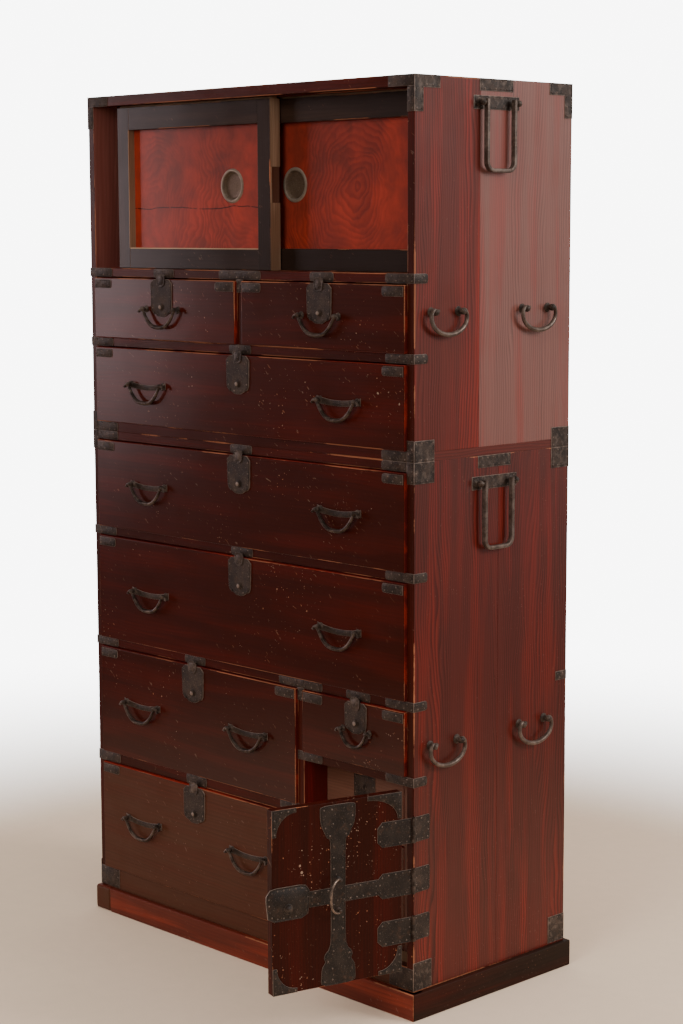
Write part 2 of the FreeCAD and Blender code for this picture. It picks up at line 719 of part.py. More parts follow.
def drawer_irons(drawer):
    """Lock, upper corner plates and bail seats on a drawer's front."""
    face = FRONT - DRAWER_PROUD
    high = drawer.z1 - DRAWER_TOP_GAP
    middle = (drawer.x0 + drawer.x1) / 2 + drawer.shift
    shapes = [placed(shape, middle, face, high) for shape in lock_set(*drawer.lock)]
    top = high - DRAWER_CORNER_IN
    low = top - DRAWER_CORNER_H
    near = drawer.x0 + DRAWER_SIDE_GAP + DRAWER_CORNER_IN
    far = drawer.x1 - DRAWER_SIDE_GAP - DRAWER_CORNER_IN
    left_end = round_strap(near, near + DRAWER_CORNER_W, low, top)
    right_end = round_strap(far - DRAWER_CORNER_W, far, low, top, left=True, right=False)
    shapes.extend([placed(left_end, 0, face, 0), placed(right_end, 0, face, 0)])
    for x, _, z in bail_places(drawer):
        shapes.extend([placed(shape, x, face, z) for shape in bail_seat(drawer.bail, drawer.crest)])
    return shapes


def inner_pull_level(z0, z1):
    """How high the pull of an inner drawer hangs, just below its lock plate."""
    return (z0 + z1) / 2 - INNER_LOCK / 4 - INNER_PULL_OUT * INNER_PULL_SHARE


def inner_drawer_irons(z0, z1):
    """A square lock plate with its keyhole and the two posts of the pull below it."""
    half = INNER_LOCK / 2
    low = (z0 + z1) / 2 - half / 2
    plate = front_plate(SAFE_MID_X - half, SAFE_MID_X + half, low, low + INNER_LOCK, SAFE_FRONT)
    slot = KEYHOLE_W / 2
    slot_low = low + half
    before = SAFE_FRONT - OVERRUN
    keyhole = board(
        SAFE_MID_X - slot, SAFE_MID_X + slot, before, SAFE_FRONT + OVERRUN, slot_low, slot_low + KEYHOLE_H
    )
    shapes = [plate.cut(keyhole)]
    for post in eye_pair(INNER_PULL):
        shapes.append(placed(post, SAFE_MID_X, SAFE_FRONT, inner_pull_level(z0, z1)))
    return shapes


def plinth():
    """A low frame of five boards; the left one shows its end grain at the front."""
    out = HALF + PLINTH_LIP
    near = FRONT - PLINTH_LIP
    far = BACK + PLINTH_LIP
    inner_left = PLINTH_SIDE_T - out
    front_in = near + PLINTH_FRONT_T
    rear_in = far - PLINTH_FRONT_T
    left = board(-out, inner_left, near, far, 0, PLINTH_H)
    corner = [edge for edge in left.Edges if edge.BoundBox.XMax < -HALF and edge.BoundBox.YMax < FRONT]
    shapes = [left.makeFillet(PLINTH_ROUND, corner)]
    shapes.append(board(inner_left, out, near, front_in, 0, PLINTH_H))
    shapes.append(board(out - PLINTH_SIDE_T, out, front_in, far, 0, PLINTH_H))
    shapes.append(board(inner_left, out - PLINTH_SIDE_T, rear_in, far, 0, PLINTH_H))
    rib = PLINTH_SIDE_T / 2
    shapes.append(board(-rib, rib, front_in, rear_in, 0, PLINTH_H))
    return shapes


def back_planks(z0, z1):
    """Upright planks of equal width that close the back between the sides."""
    step = 2 * INNER / BACK_PLANKS
    shapes = []
    for index in range(BACK_PLANKS):
        start = index * step - INNER
        shapes.append(board(start, start + step, BACK_IN, BACK, z0, z1))
    return shapes


def rail_and_dust(x0, x1, z0, height):
    """A rail across the front with a thin board behind it, flush at the top."""
    behind = FRONT + RAIL_D
    top = z0 + height
    rail = board(x0, x1, FRONT, behind, z0, top)
    dust = board(x0, x1, behind, BACK_IN, top - DUST_T, top)
    return [rail, dust]


def lower_case():
    """Boards of the lower case, with the safe compartment's lining and shelf."""
    panel_low = BASE_TOP - BASE_PANEL_T
    rail_in = FRONT + BASE_RAIL_T
    rear = BACK_IN - BASE_RAIL_T
    lining_end = SAFE_END + SAFE_LINING_T
    lining_in = SAFE_FRONT + SAFE_LINING_T
    shapes = both_sides([board(INNER, HALF, FRONT, BACK, PLINTH_H, SEAM_Z)])
    shapes.append(board(-INNER, INNER, FRONT, BACK, LOWER_TOP_Z, SEAM_Z))
    shapes.extend(back_planks(PLINTH_H, LOWER_TOP_Z))
    shapes.append(board(-INNER, INNER, FRONT, rail_in, PLINTH_H, BASE_TOP))
    shapes.append(board(-INNER, INNER, rail_in, BACK_IN, panel_low, BASE_TOP))
    shapes.append(board(-INNER, INNER, rear, BACK_IN, PLINTH_H, panel_low))
    shapes.append(board(DIVIDER_X, DIVIDER_END, FRONT, BACK_IN, BASE_TOP, RAIL_5_Z))
    shapes.extend(rail_and_dust(-INNER, INNER, RAIL_4_Z, RAIL_H))
    shapes.extend(rail_and_dust(-INNER, INNER, RAIL_5_Z, RAIL_H))
    shapes.extend(rail_and_dust(-INNER, DIVIDER_X, RAIL_6_Z, LOW_RAIL_H))
    shapes.append(board(DIVIDER_END, INNER, FRONT, BACK_IN, RAIL_7_Z, RIGHT_SMALL_Z))
    shapes.append(board(DIVIDER_END, SAFE_END, SAFE_FRONT, BACK_IN, SAFE_SHELF_Z, SAFE_HIGH_Z))
    shapes.append(board(SAFE_END, lining_end, SAFE_FRONT, BACK_IN, BASE_TOP, RAIL_7_Z))
    shapes.append(board(lining_end, INNER, SAFE_FRONT, lining_in, BASE_TOP, RAIL_7_Z))
    return shapes


def tracked(plank, z0, z1):
    """A board with the two grooves that the sliding doors run in."""
    half = TRACK_W / 2 + TRACK_PLAY
    for door_y in (SLIDE_FRONT_Y, SLIDE_REAR_Y):
        middle = door_y + SLIDE_T / 2
        plank = plank.cut(board(-INNER, INNER, middle - half, middle + half, z0, z1))
    return plank


def upper_case():
    """Boards of the upper case, grooved above and below the sliding doors."""
    shapes = both_sides([board(INNER, HALF, FRONT, BACK, SEAM_Z, TOP_Z)])
    shapes.append(board(-INNER, INNER, FRONT, BACK, SEAM_Z, UPPER_WIDE_Z))
    shapes.extend(back_planks(UPPER_WIDE_Z, TOP_BOARD_Z))
    shapes.extend(rail_and_dust(-INNER, INNER, RAIL_2_Z, RAIL_H))
    shapes.append(board(-HALF_DIVIDER, HALF_DIVIDER, FRONT, BACK_IN, SMALL_Z, SHELF_Z))
    shelf = board(-INNER, INNER, FRONT, BACK_IN, SHELF_Z, SLIDE_Z)
    shapes.append(tracked(shelf, SLIDE_Z - TRACK_LOW, SLIDE_Z + OVERRUN))
    top = board(-INNER, INNER, FRONT, BACK, TOP_BOARD_Z, TOP_Z)
    shapes.append(tracked(top, TOP_BOARD_Z - OVERRUN, TOP_BOARD_Z + TRACK_HIGH))
    return shapes


def sliding_door(x0, y0, pull_x):
    """A framed door with a thin set-back panel, its tongues in the two tracks."""
    x1 = x0 + SLIDE_W
    y1 = y0 + SLIDE_T
    inner_x0 = x0 + SLIDE_STILE
    inner_x1 = x1 - SLIDE_STILE
    inner_z0 = SLIDE_FOOT + SLIDE_BOTTOM_RAIL
    inner_z1 = SLIDE_HEAD - SLIDE_TOP_RAIL
    tongue = SLIDE_PANEL_TONGUE
    panel_y = y0 + SLIDE_PANEL_IN
    panel_x = (inner_x0 - tongue, inner_x1 + tongue)
    panel = board(*panel_x, panel_y, panel_y + SLIDE_PANEL_T, inner_z0 - tongue, inner_z1 + tongue)
    track_y = (y0 + y1 - TRACK_W) / 2
    foot_low = SLIDE_Z - TRACK_LOW + TRACK_SEAT
    head_high = TOP_BOARD_Z + TRACK_HIGH / 2
    foot = board(x0, x1, track_y, track_y + TRACK_W, foot_low, SLIDE_FOOT)
    head = board(x0, x1, track_y, track_y + TRACK_W, SLIDE_HEAD, head_high)
    frame = [board(x0, inner_x0, y0, y1, SLIDE_FOOT, SLIDE_HEAD)]
    frame.append(board(inner_x1, x1, y0, y1, SLIDE_FOOT, SLIDE_HEAD))
    frame.append(board(inner_x0, inner_x1, y0, y1, SLIDE_FOOT, inner_z0))
    frame.append(board(inner_x0, inner_x1, y0, y1, inner_z1, SLIDE_HEAD))
    hole = extruded(ring_points(PULL_R - PULL_RIM_W, PULL_SIDES, 0), V(0, SLIDE_T, 0))
    pierced = panel.cut(placed(hole, pull_x, y0, PULL_Z))
    return [pierced, foot, head] + [member.cut(panel) for member in frame]


def sliding_pull(x, y0):
    """A round finger cup let into the panel, with a rim that lies on it."""
    face = SLIDE_PANEL_IN
    outer = PULL_R - PULL_RIM_W
    inner = outer - PULL_WALL
    proud = face - PULL_RIM_T
    cup = tapered([(outer, face + PULL_DEPTH), (outer, face)], PULL_SIDES)
    rim = tapered([(PULL_R, face), (outer, proud)], PULL_SIDES)
    hollow = tapered([(inner, proud), (inner, face + PULL_DEPTH - PULL_WALL)], PULL_SIDES)
    return placed(cup.fuse(rim).cut(hollow).removeSplitter(), x, y0, PULL_Z)


def door_strap():
    """The upright strap down the door's middle, ending in a bell above and below."""
    high = DOOR_Z1 - DOOR_STRAP_END
    top = [(x, high - z) for x, z in scaled(TOP_BELL_SHARES, BELL_W, TOP_BELL_H)]
    foot = [(x, DOOR_Z0 + z) for x, z in scaled(FOOT_BELL_SHARES, BELL_W, FOOT_BELL_H)]
    right = top + foot[::-1]
    left = [(-x, z) for x, z in right]
    return outline_plate(right + left[::-1], PLATE_T)


def door_corner(across, down):
    """A corner plate with a hollow edge, its corner at the origin, arms to +X and -Z."""
    end = DOOR_CORNER_END
    wide = across - end
    tall = down - end
    points = [(0, -down), (0, 0), (across, 0)]
    for index in range(HOLLOW_FACETS + 1):
        angle = math.pi / 2 * index / HOLLOW_FACETS
        points.append((across - wide * math.sin(angle), -down + tall * math.cos(angle)))
    return outline_plate(points, PLATE_T)


def leaf(reach, corner, on_door):
    """A hinge leaf towards -X with its knuckles about the upright line through the origin.

    The leaf's back is one stand-off behind that line. The door's leaf carries
    the middle knuckle, the leaf on the case side the other two.
    """
    back = HINGE_OUT
    low = -LEAF_H / 2
    high = LEAF_H / 2
    root = -KNUCKLE_R - LEAF_CLEAR
    near_end = corner - reach
    clip = high - corner
    upper = [(root, high), (near_end, high), (-reach, clip)]
    lower = [(x, -z) for x, z in reversed(upper)]
    body = placed(outline_plate(upper + lower, PLATE_T), 0, back, 0)
    pitch = LEAF_H / KNUCKLES
    for index in range(KNUCKLES):
        if (index % 2 == 1) == on_door:
            start = low + pitch * index + KNUCKLE_GAP / 2
            length = pitch - KNUCKLE_GAP
            tab = board(root, -KNUCKLE_R / 2, back - PLATE_T, back, start, start + length)
            body = body.fuse(tab).fuse(upright_bar(KNUCKLE_R, length, start))
    bore = upright_bar((PIN_R + PIN_PLAY) / math.cos(math.pi / PIN_SIDES), LEAF_H, low)
    return body.cut(bore).removeSplitter()


def door_leaves():
    """The leaves on the safe door, closed."""
    reach = HINGE.x - DOOR_X1 + LEAF_REACH
    return [placed(leaf(reach, LEAF_CLIP, True), HINGE.x, HINGE.y, level) for level in LEAF_LEVELS]


def case_leaves():
    """The leaves on the case side that carry the safe door."""
    turned = mirrored(leaf(SIDE_LEAF_REACH, SIDE_LEAF_CLIP, False))
    return [placed(turned, HINGE.x, HINGE.y, level, 90) for level in LEAF_LEVELS]


def hinge_pins():
    """A headed pin through the knuckles of each hinge."""
    shapes = []
    for level in LEAF_LEVELS:
        low = level - LEAF_H / 2
        pin = upright_bar(PIN_R, LEAF_H, low).fuse(upright_bar(KNUCKLE_R, PIN_HEAD_T, low + LEAF_H))
        shapes.append(placed(pin, HINGE.x, HINGE.y, 0))
    return shapes


def safe_door():
    """The safe door's board, standing open."""
    return [swung_open(board(DOOR_X0, DOOR_X1, FRONT, FRONT + DOOR_T, DOOR_Z0, DOOR_Z1))]


def safe_door_irons():
    """Strap-work, hinge leaves, corner plates, lock and pull posts on the safe door."""
    strap_half = DOOR_STRAP_W / 2
    lock_x = DOOR_X0 - DOOR_LOCK_OVER + DOOR_LOCK_W / 2
    lock_end = lock_x + DOOR_LOCK_W / 2
    leaf_end = DOOR_X1 - LEAF_REACH
    lock_points = scaled(DOOR_LOCK_SHARES, DOOR_LOCK_W, DOOR_LOCK_H)
    strap = placed(door_strap(), DOOR_MID_X, FRONT, 0)
    cross = front_plate(lock_end - strap_half, leaf_end, CROSS_Z - strap_half, CROSS_Z + strap_half)
    lock = placed(outline_plate(lock_points, LOCK_T), lock_x, FRONT, CROSS_Z)
    shapes = [strap.fuse(cross).cut(lock).removeSplitter(), lock]
    shapes.append(placed(lock_button(), lock_x, FRONT - LOCK_T, CROSS_Z - DOOR_LOCK_H / 6))
    shapes.extend(door_leaves())
    plain = door_corner(DOOR_CORNER, DOOR_CORNER)
    wide = mirrored(door_corner(DOOR_CORNER_LONG, DOOR_CORNER))
    plain_low = plain.mirror(ORIGIN, Z_AXIS)
    shapes.append(placed(plain, DOOR_X0, FRONT, DOOR_Z1))
    shapes.append(placed(plain_low, DOOR_X0, FRONT, DOOR_Z0))
    shapes.append(placed(wide, DOOR_X1, FRONT, DOOR_Z1))
    shapes.append(placed(mirrored(plain_low), DOOR_X1, FRONT, DOOR_Z0))
    for post in eye_pair(SAFE_BAIL):
        post.rotate(ORIGIN, Y_AXIS, 90)
        shapes.append(placed(post, DOOR_MID_X, FRONT - PLATE_T, CROSS_Z))
    return [swung_open(shape) for shape in shapes]


def safe_door_bail():
    """The pull of the safe door, which turns about an upright line."""
    bail = hanging_bail(SAFE_BAIL)
    bail.rotate(ORIGIN, Y_AXIS, 90)
    leaning = placed(bail, 0, 0, 0, SAFE_BAIL_LEAN_DEG)
    return [swung_open(placed(leaning, DOOR_MID_X, FRONT - PLATE_T - SAFE_BAIL_OUT, CROSS_Z))]


def right_end_straps(z0, height):
    """A strap over the right end of a front rail, turned back onto the case side."""
    strap = placed(round_strap(HALF - STRAP_W, HALF, z0, z0 + height, left=True, right=False), 0, FRONT, 0)
    return [strap, side_plate(FRONT - PLATE_T, FRONT + STRAP_WRAP, z0, z0 + height)]


def tee_plate(x, z, height):
    """A strap on a rail with a tail down the upright below it."""
    half = TEE_W / 2
    bar = placed(round_strap(x - half, x + half, z, z + height, left=True), 0, FRONT, 0)
    return [bar, front_plate(x - HALF_DIVIDER, x + HALF_DIVIDER, z - TEE_DROP, z)]


def strikes(names, height):
    """Round-ended plates on the rail above the named drawers, behind their tongues."""
    half = STRIKE_W / 2
    shapes = []
    for name in names:
        drawer = DRAWERS[name]
        x = (drawer.x0 + drawer.x1) / 2 + drawer.shift
        plate = round_strap(x - half, x + half, drawer.z1, drawer.z1 + height, left=True)
        shapes.append(placed(plate, 0, FRONT, 0))
    return shapes


def seam_corners(z0, z1, board_low, board_high):
    """Plates at the corners where the two cases meet: on the front edge and the side."""
    shapes = [front_plate(INNER, HALF, z0, z1)]
    arm = round_strap(HALF - SEAM_ARM, INNER, board_low, board_high, left=True, right=False)
    shapes.append(placed(arm, 0, FRONT, 0))
    shapes.append(side_plate(FRONT - PLATE_T, FRONT + SEAM_SIDE, z0, z1))
    shapes.append(side_plate(BACK - SEAM_SIDE, BACK, z0, z1))
    return both_sides(shapes)


def top_corners():
    """Angle plates at the upper corners of the upper case and a strap between them."""
    drop = TOP_Z - CORNER_DROP
    arm_low = TOP_Z - ARM_W
    strap = MID_STRAP_W / 2
    near = FRONT - PLATE_T
    shapes = [front_plate(HALF - CORNER_ARM, HALF, TOP_BOARD_Z, TOP_Z)]
    shapes.append(front_plate(INNER, HALF, drop, TOP_BOARD_Z))
    shapes.append(side_plate(near, FRONT + SIDE_ARM, arm_low, TOP_Z))
    shapes.append(side_plate(near, FRONT + ARM_W, drop, arm_low))
    shapes.append(side_plate(-strap, strap, arm_low, TOP_Z))
    shapes.append(side_plate(BACK - SIDE_ARM, BACK, arm_low, TOP_Z))
    shapes.append(side_plate(BACK - ARM_W, BACK, drop, arm_low))
    return both_sides(shapes)


def side_hangers(pole_z, bail_z):
    """Eyes and plates on both sides for the pole handle and the two side bails."""
    plate = board(-POLE_PLATE_W / 2, POLE_PLATE_W / 2, -PLATE_T, 0, -POLE_PLATE_H / 2, POLE_PLATE_H / 2)
    pole = [plate] + eye_pair(POLE_EYES, PLATE_T)
    shapes = []
    for x, turn in ((HALF, SIDE_TURN_DEG), (-HALF, -SIDE_TURN_DEG)):
        shapes.extend([placed(shape, x, 0, pole_z, turn) for shape in pole])
        for y in (FRONT_BAIL_Y, BACK_BAIL_Y):
            shapes.extend([placed(post, x, y, bail_z, turn) for post in eye_pair(SIDE_BAIL)])
    return shapes


def upper_case_irons():
    """All the fixed ironwork of the upper case."""
    shapes = top_corners()
    shapes.extend(seam_corners(SEAM_Z, SEAM_Z + SEAM_RISE, SEAM_Z, UPPER_WIDE_Z))
    shapes.extend(both_sides(right_end_straps(SHELF_Z, RAIL_H)))
    shapes.extend(both_sides(right_end_straps(RAIL_2_Z, RAIL_H)))
    shapes.extend(tee_plate(0, SHELF_Z, RAIL_H))
    shapes.extend(strikes(["drawer_small_left", "drawer_small_right", "drawer_upper_wide"], RAIL_H))
    shapes.extend(side_hangers(UPPER_POLE_Z, UPPER_BAIL_Z))
    return shapes


def lower_case_irons():
    """All the fixed ironwork of the lower case."""
    shapes = seam_corners(SEAM_Z - SEAM_RISE, SEAM_Z, LOWER_TOP_Z, SEAM_Z)
    shapes.extend(both_sides(right_end_straps(RAIL_4_Z, RAIL_H)))
    shapes.extend(both_sides(right_end_straps(RAIL_5_Z, RAIL_H)))
    shapes.extend([mirrored(strap) for strap in right_end_straps(RAIL_6_Z, LOW_RAIL_H)])
    shapes.extend(right_end_straps(RAIL_7_Z, RAIL_H))
    shapes.extend(tee_plate(DIVIDER_X + HALF_DIVIDER, RAIL_5_Z, RAIL_H))
    branch = round_strap(DIVIDER_X, DIVIDER_END + RAIL_7_STRAP_W, RAIL_7_Z, RIGHT_SMALL_Z)
    stub_x = DIVIDER_X - RAIL_7_STRAP_W
    stub = round_strap(stub_x, DIVIDER_END, RAIL_6_Z, LEFT_HIGH_Z, left=True, right=False)
    shapes.extend([placed(branch, 0, FRONT, 0), placed(stub, 0, FRONT, 0)])
    shapes.extend(strikes(["drawer_wide_top"], LOWER_TOP_T))
    shapes.extend(strikes(["drawer_wide_middle", "drawer_left_high", "drawer_right_small"], RAIL_H))
    shapes.extend(strikes(["drawer_left_low"], LOW_RAIL_H))
    foot_top = BASE_TOP - PLATE_T
    foot_low = foot_top - BASE_PLATE_H
    strap = MID_STRAP_W / 2
    foot = [front_plate(HALF - BASE_PLATE_W, HALF, foot_low, foot_top)]
    side_top = foot_low + BASE_SIDE_H
    foot.append(side_plate(FRONT - PLATE_T, FRONT + BASE_SIDE_W, foot_low, side_top))
    foot.append(side_plate(BACK - BASE_SIDE_W, BACK, foot_low, side_top))
    foot.append(side_plate(BACK - PATCH_W, BACK, RAIL_5_Z, WIDE_MID_Z))
    foot.append(side_plate(-strap, strap, SEAM_Z - ARM_W, SEAM_Z))
    shapes.extend(both_sides(foot))
    shapes.extend(case_leaves())
    shapes.extend(side_hangers(LOWER_POLE_Z, LOWER_BAIL_Z))
    return shapes


os.makedirs("parts", exist_ok=True)

save("plinth", plinth())
save("lower_case", lower_case())
save("lower_case_irons", lower_case_irons())
save("upper_case", upper_case())
save("upper_case_irons", upper_case_irons())

save("sliding_door_left", sliding_door(SLIDE_LEFT_X, SLIDE_FRONT_Y, LEFT_PULL_X))
save("sliding_door_left_pull", [sliding_pull(LEFT_PULL_X, SLIDE_FRONT_Y)])
save("sliding_door_right", sliding_door(SLIDE_RIGHT_X, SLIDE_REAR_Y, RIGHT_PULL_X))
save("sliding_door_right_pull", [sliding_pull(RIGHT_PULL_X, SLIDE_REAR_Y)])

for name, drawer in DRAWERS.items():
    opening = (drawer.x0, drawer.x1, drawer.z0, drawer.z1)
    save(name, drawer_box(*opening, FRONT - DRAWER_PROUD, DRAWER_FRONT_T, DRAWER_SIDE_T))
    save(name + "_irons", drawer_irons(drawer))
    for number, place in enumerate(bail_places(drawer)):
        save(name + "_bail_" + str(number + 1), [placed(hanging_bail(drawer.bail), *place)])

for name, (z0, z1) in INNER_DRAWERS.items():
    save(name, drawer_box(DIVIDER_END, SAFE_END, z0, z1, SAFE_FRONT, INNER_FRONT_T, INNER_SIDE_T))
    save(name + "_irons", inner_drawer_irons(z0, z1))
    pull_y = SAFE_FRONT - INNER_PULL_OUT
    save(name + "_pull", [placed(hanging_bail(INNER_PULL), SAFE_MID_X, pull_y, inner_pull_level(z0, z1))])

save("safe_door", safe_door())
save("safe_door_irons", safe_door_irons())
save("safe_door_bail", safe_door_bail())
save("hinge_pins", hinge_pins())

for case, bail_z, pole_z in (("upper", UPPER_BAIL_Z, UPPER_POLE_Z), ("lower", LOWER_BAIL_Z, LOWER_POLE_Z)):
    for side, sign in (("left", -1), ("right", 1)):
        handle = placed(pole_handle(), sign * POLE_X, 0, pole_z, sign * SIDE_TURN_DEG)
        save(case + "_pole_handle_" + side, [handle])
        for end, y in (("front", FRONT_BAIL_Y), ("back", BACK_BAIL_Y)):
            bail = placed(bowed_bail(SIDE_BAIL), sign * SIDE_BAIL_X, y, bail_z, sign * SIDE_TURN_DEG)
            save(case + "_side_bail_" + side + "_" + end, [bail])
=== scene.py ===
"""Two-section clothing chest of lacquered wood with forged iron fittings.

Run as a script inside Blender. Metres, X along the front, Y to the back, Z up.
"""

import json
import math
from collections import namedtuple
from functools import cache

import bpy
import numpy as np
from bpy.props import FloatProperty, FloatVectorProperty, PointerProperty
from mathutils import Matrix, Vector


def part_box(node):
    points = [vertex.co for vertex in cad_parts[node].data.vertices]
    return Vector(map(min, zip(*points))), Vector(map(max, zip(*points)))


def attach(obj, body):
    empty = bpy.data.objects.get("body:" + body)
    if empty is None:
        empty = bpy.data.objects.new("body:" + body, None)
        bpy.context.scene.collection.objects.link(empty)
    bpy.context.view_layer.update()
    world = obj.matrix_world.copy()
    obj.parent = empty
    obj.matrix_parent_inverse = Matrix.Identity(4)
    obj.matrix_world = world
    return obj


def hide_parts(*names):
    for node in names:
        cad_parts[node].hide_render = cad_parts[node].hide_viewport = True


bl_info = {
    "name": "Clothing Chest",
    "version": (1, 0, 0),
    "blender": (4, 5, 0),
    "location": "3D View > Sidebar > Chest",
    "description": "Builds a two-section clothing chest of lacquered wood and forged iron",
    "category": "Add Mesh",
}

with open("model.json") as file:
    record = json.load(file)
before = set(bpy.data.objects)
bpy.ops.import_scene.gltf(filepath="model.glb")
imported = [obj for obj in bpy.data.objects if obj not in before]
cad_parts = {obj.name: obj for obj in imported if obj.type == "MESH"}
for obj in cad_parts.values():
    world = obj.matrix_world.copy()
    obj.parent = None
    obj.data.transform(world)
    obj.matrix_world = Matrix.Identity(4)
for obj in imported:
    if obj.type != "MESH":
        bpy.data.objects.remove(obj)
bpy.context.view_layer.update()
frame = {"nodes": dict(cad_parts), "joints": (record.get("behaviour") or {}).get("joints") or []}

MM = 0.001

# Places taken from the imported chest
CASE_LOW, CASE_HIGH = (np.array(corner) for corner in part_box("lower_case"))
PLINTH_LOW, PLINTH_HIGH = (np.array(corner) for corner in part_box("plinth"))
HALF = CASE_HIGH[0]
FRONT = CASE_LOW[1]
BACK = CASE_HIGH[1]
SEAM = CASE_HIGH[2]
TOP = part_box("upper_case")[1].z
JOINTS = {joint["name"]: joint for joint in frame["joints"]}

# Thicknesses and gaps of the joinery
SIDE_T = 17 * MM
BACK_T = 9 * MM
RAIL_D = 46 * MM
DUST_T = 8 * MM
TOP_T = 20 * MM
BASE_T = 14 * MM
BASE_RAIL_D = 20 * MM
SAFE_WALL_T = 12 * MM
SILL_H = 16 * MM
DOOR_T = 18 * MM
DOOR_GAPS = (4 * MM, 2.3 * MM)
SEAT_GAP = 0.3 * MM
HEAD_GAP = 2.5 * MM
END_GAP = 1.2 * MM
DRAWER_T = (21 * MM, 11 * MM, 10 * MM, 7 * MM)
INNER_T = (14 * MM, 8 * MM, 10 * MM, 7 * MM)
SIDE_DROP = 6 * MM
INNER = HALF - SIDE_T
BACK_IN = BACK - BACK_T
PLATE_T = 1.2 * MM
LOCK_T = 2.4 * MM
RIM = 1.6 * MM
EYE = 7 * MM
KNOB = 1.3
PLATE_ARM = 63 * MM
CORNER_REACH = 50 * MM
CORNER_H = 38 * MM
FOOT_REACH = 46 * MM
RIGHT_LOCK_SHIFT = 11 * MM

# Outlines of plates as shares of their width and height
LOCK_SHARES = np.array([
    (0.5, 0.0), (0.48, -0.78), (0.43, -0.88), (0.3, -0.92), (0.13, -1.0),
    (-0.13, -1.0), (-0.3, -0.92), (-0.43, -0.88), (-0.48, -0.78), (-0.5, 0.0),
])
DOOR_LOCK_SHARES = np.array([
    (-0.38, 0.5), (0.38, 0.5), (0.5, 0.27), (0.44, -0.5), (-0.44, -0.5), (-0.5, 0.27),
])
TOP_BELL_SHARES = np.array([(0.5, 0.0), (0.5, 0.3), (0.47, 0.57), (0.37, 0.8), (0.31, 0.94), (0.205, 1.0)])
FOOT_BELL_SHARES = np.array([
    (0.5, 0.0), (0.47, 0.42), (0.36, 0.56), (0.41, 0.65), (0.37, 0.75), (0.28, 0.82), (0.205, 1.0),
])

Board = namedtuple("Board", "low high grain finish faces arris hole joints")

# Finishes by side of a board: 0 and 1 are its left and right, 2 and 3 its front and back, 4 and 5 its foot and top
LINING = {0: "inner_red", 1: "inner_red"}


def opening(node):
    """The opening of a drawer: x0, x1, z0 and z1 round its box with its running gaps."""
    low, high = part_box(node)
    return low.x - END_GAP, high.x + END_GAP, low.z - SEAT_GAP, high.z + HEAD_GAP


LEFT_LOW = opening("drawer_left_low")
LEFT_HIGH = opening("drawer_left_high")
RIGHT_SMALL = opening("drawer_right_small")
WIDE_MID = opening("drawer_wide_middle")
WIDE_TOP = opening("drawer_wide_top")
UPPER_WIDE = opening("drawer_upper_wide")
SMALL_LEFT = opening("drawer_small_left")
SMALL_RIGHT = opening("drawer_small_right")
SAFE_HIGH = opening("safe_drawer_high")
SAFE_LOW = opening("safe_drawer_low")
RAIL_H = WIDE_TOP[2] - WIDE_MID[3]
SAFE_HEAD = SAFE_HIGH[3]
BASE_TOP = LEFT_LOW[2]
DIVIDER_X = LEFT_LOW[1]
DIVIDER_END = SAFE_LOW[0]
SAFE_END = SAFE_LOW[1]
SAFE_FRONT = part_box("safe_drawer_low")[0].y
SHELF = SMALL_LEFT[3]
SLIDE = SHELF + RAIL_H
TOP_BOARD = TOP - TOP_T
HINGE = np.array(JOINTS["safe_door_swing"]["pos_m"])
OPEN_DEG = -JOINTS["safe_door_swing"]["range_deg"][0]
DOOR_X = (DIVIDER_END + DOOR_GAPS[0], INNER - DOOR_GAPS[0])
DOOR_Z = (BASE_TOP + DOOR_GAPS[1], SAFE_HEAD - DOOR_GAPS[1])
DOOR_MID = (DOOR_X[0] + DOOR_X[1]) / 2
LEAF_SHARES = (0.226, 0.492, 0.776)
LEAF_LEVELS = [DOOR_Z[0] + share * (DOOR_Z[1] - DOOR_Z[0]) for share in LEAF_SHARES]
CROSS = LEAF_LEVELS[1]


# ---- places ----

def place(x, y, z, turn=0.0):
    """The matrix of a fitting's place: first axis along the face, second up, third outwards."""
    angle = math.radians(turn)
    matrix = np.eye(4)
    matrix[:3, 0] = (math.cos(angle), math.sin(angle), 0.0)
    matrix[:3, 1] = (0.0, 0.0, 1.0)
    matrix[:3, 2] = (math.sin(angle), -math.cos(angle), 0.0)
    matrix[:3, 3] = (x, y, z)
    return matrix


def turned_about(point, degrees):
    """The matrix that turns things about an upright line through a point."""
    shift = Matrix.Translation((point[0], point[1], 0.0))
    return np.array(shift @ Matrix.Rotation(math.radians(degrees), 4, "Z") @ shift.inverted())


def shifted(matrix, x, y, z):
    """A place moved along its own axes."""
    return matrix @ np.array(Matrix.Translation((x, y, z)))


def turned_axes(*rows):
    """The matrix that turns things by the rows of a rotation."""
    matrix = np.eye(4)
    matrix[:3, :3] = rows
    return matrix


def moved(points, matrix):
    """Points carried by a matrix."""
    return points @ matrix[:3, :3].T + matrix[:3, 3]


SWING = turned_about(HINGE, OPEN_DEG)


# ---- surfaces ----

def grid_quads(rows, columns, wrap):
    """Corner numbers of the quads of a grid, its columns joined end to end if wrapped."""
    row, column = np.meshgrid(np.arange(rows - 1), np.arange(columns if wrap else columns - 1), indexing="ij")
    after = (column + 1) % columns
    corners = [row * columns + column, row * columns + after, (row + 1) * columns + after, (row + 1) * columns + column]
    return np.stack(corners, axis=-1).reshape(-1, 4)


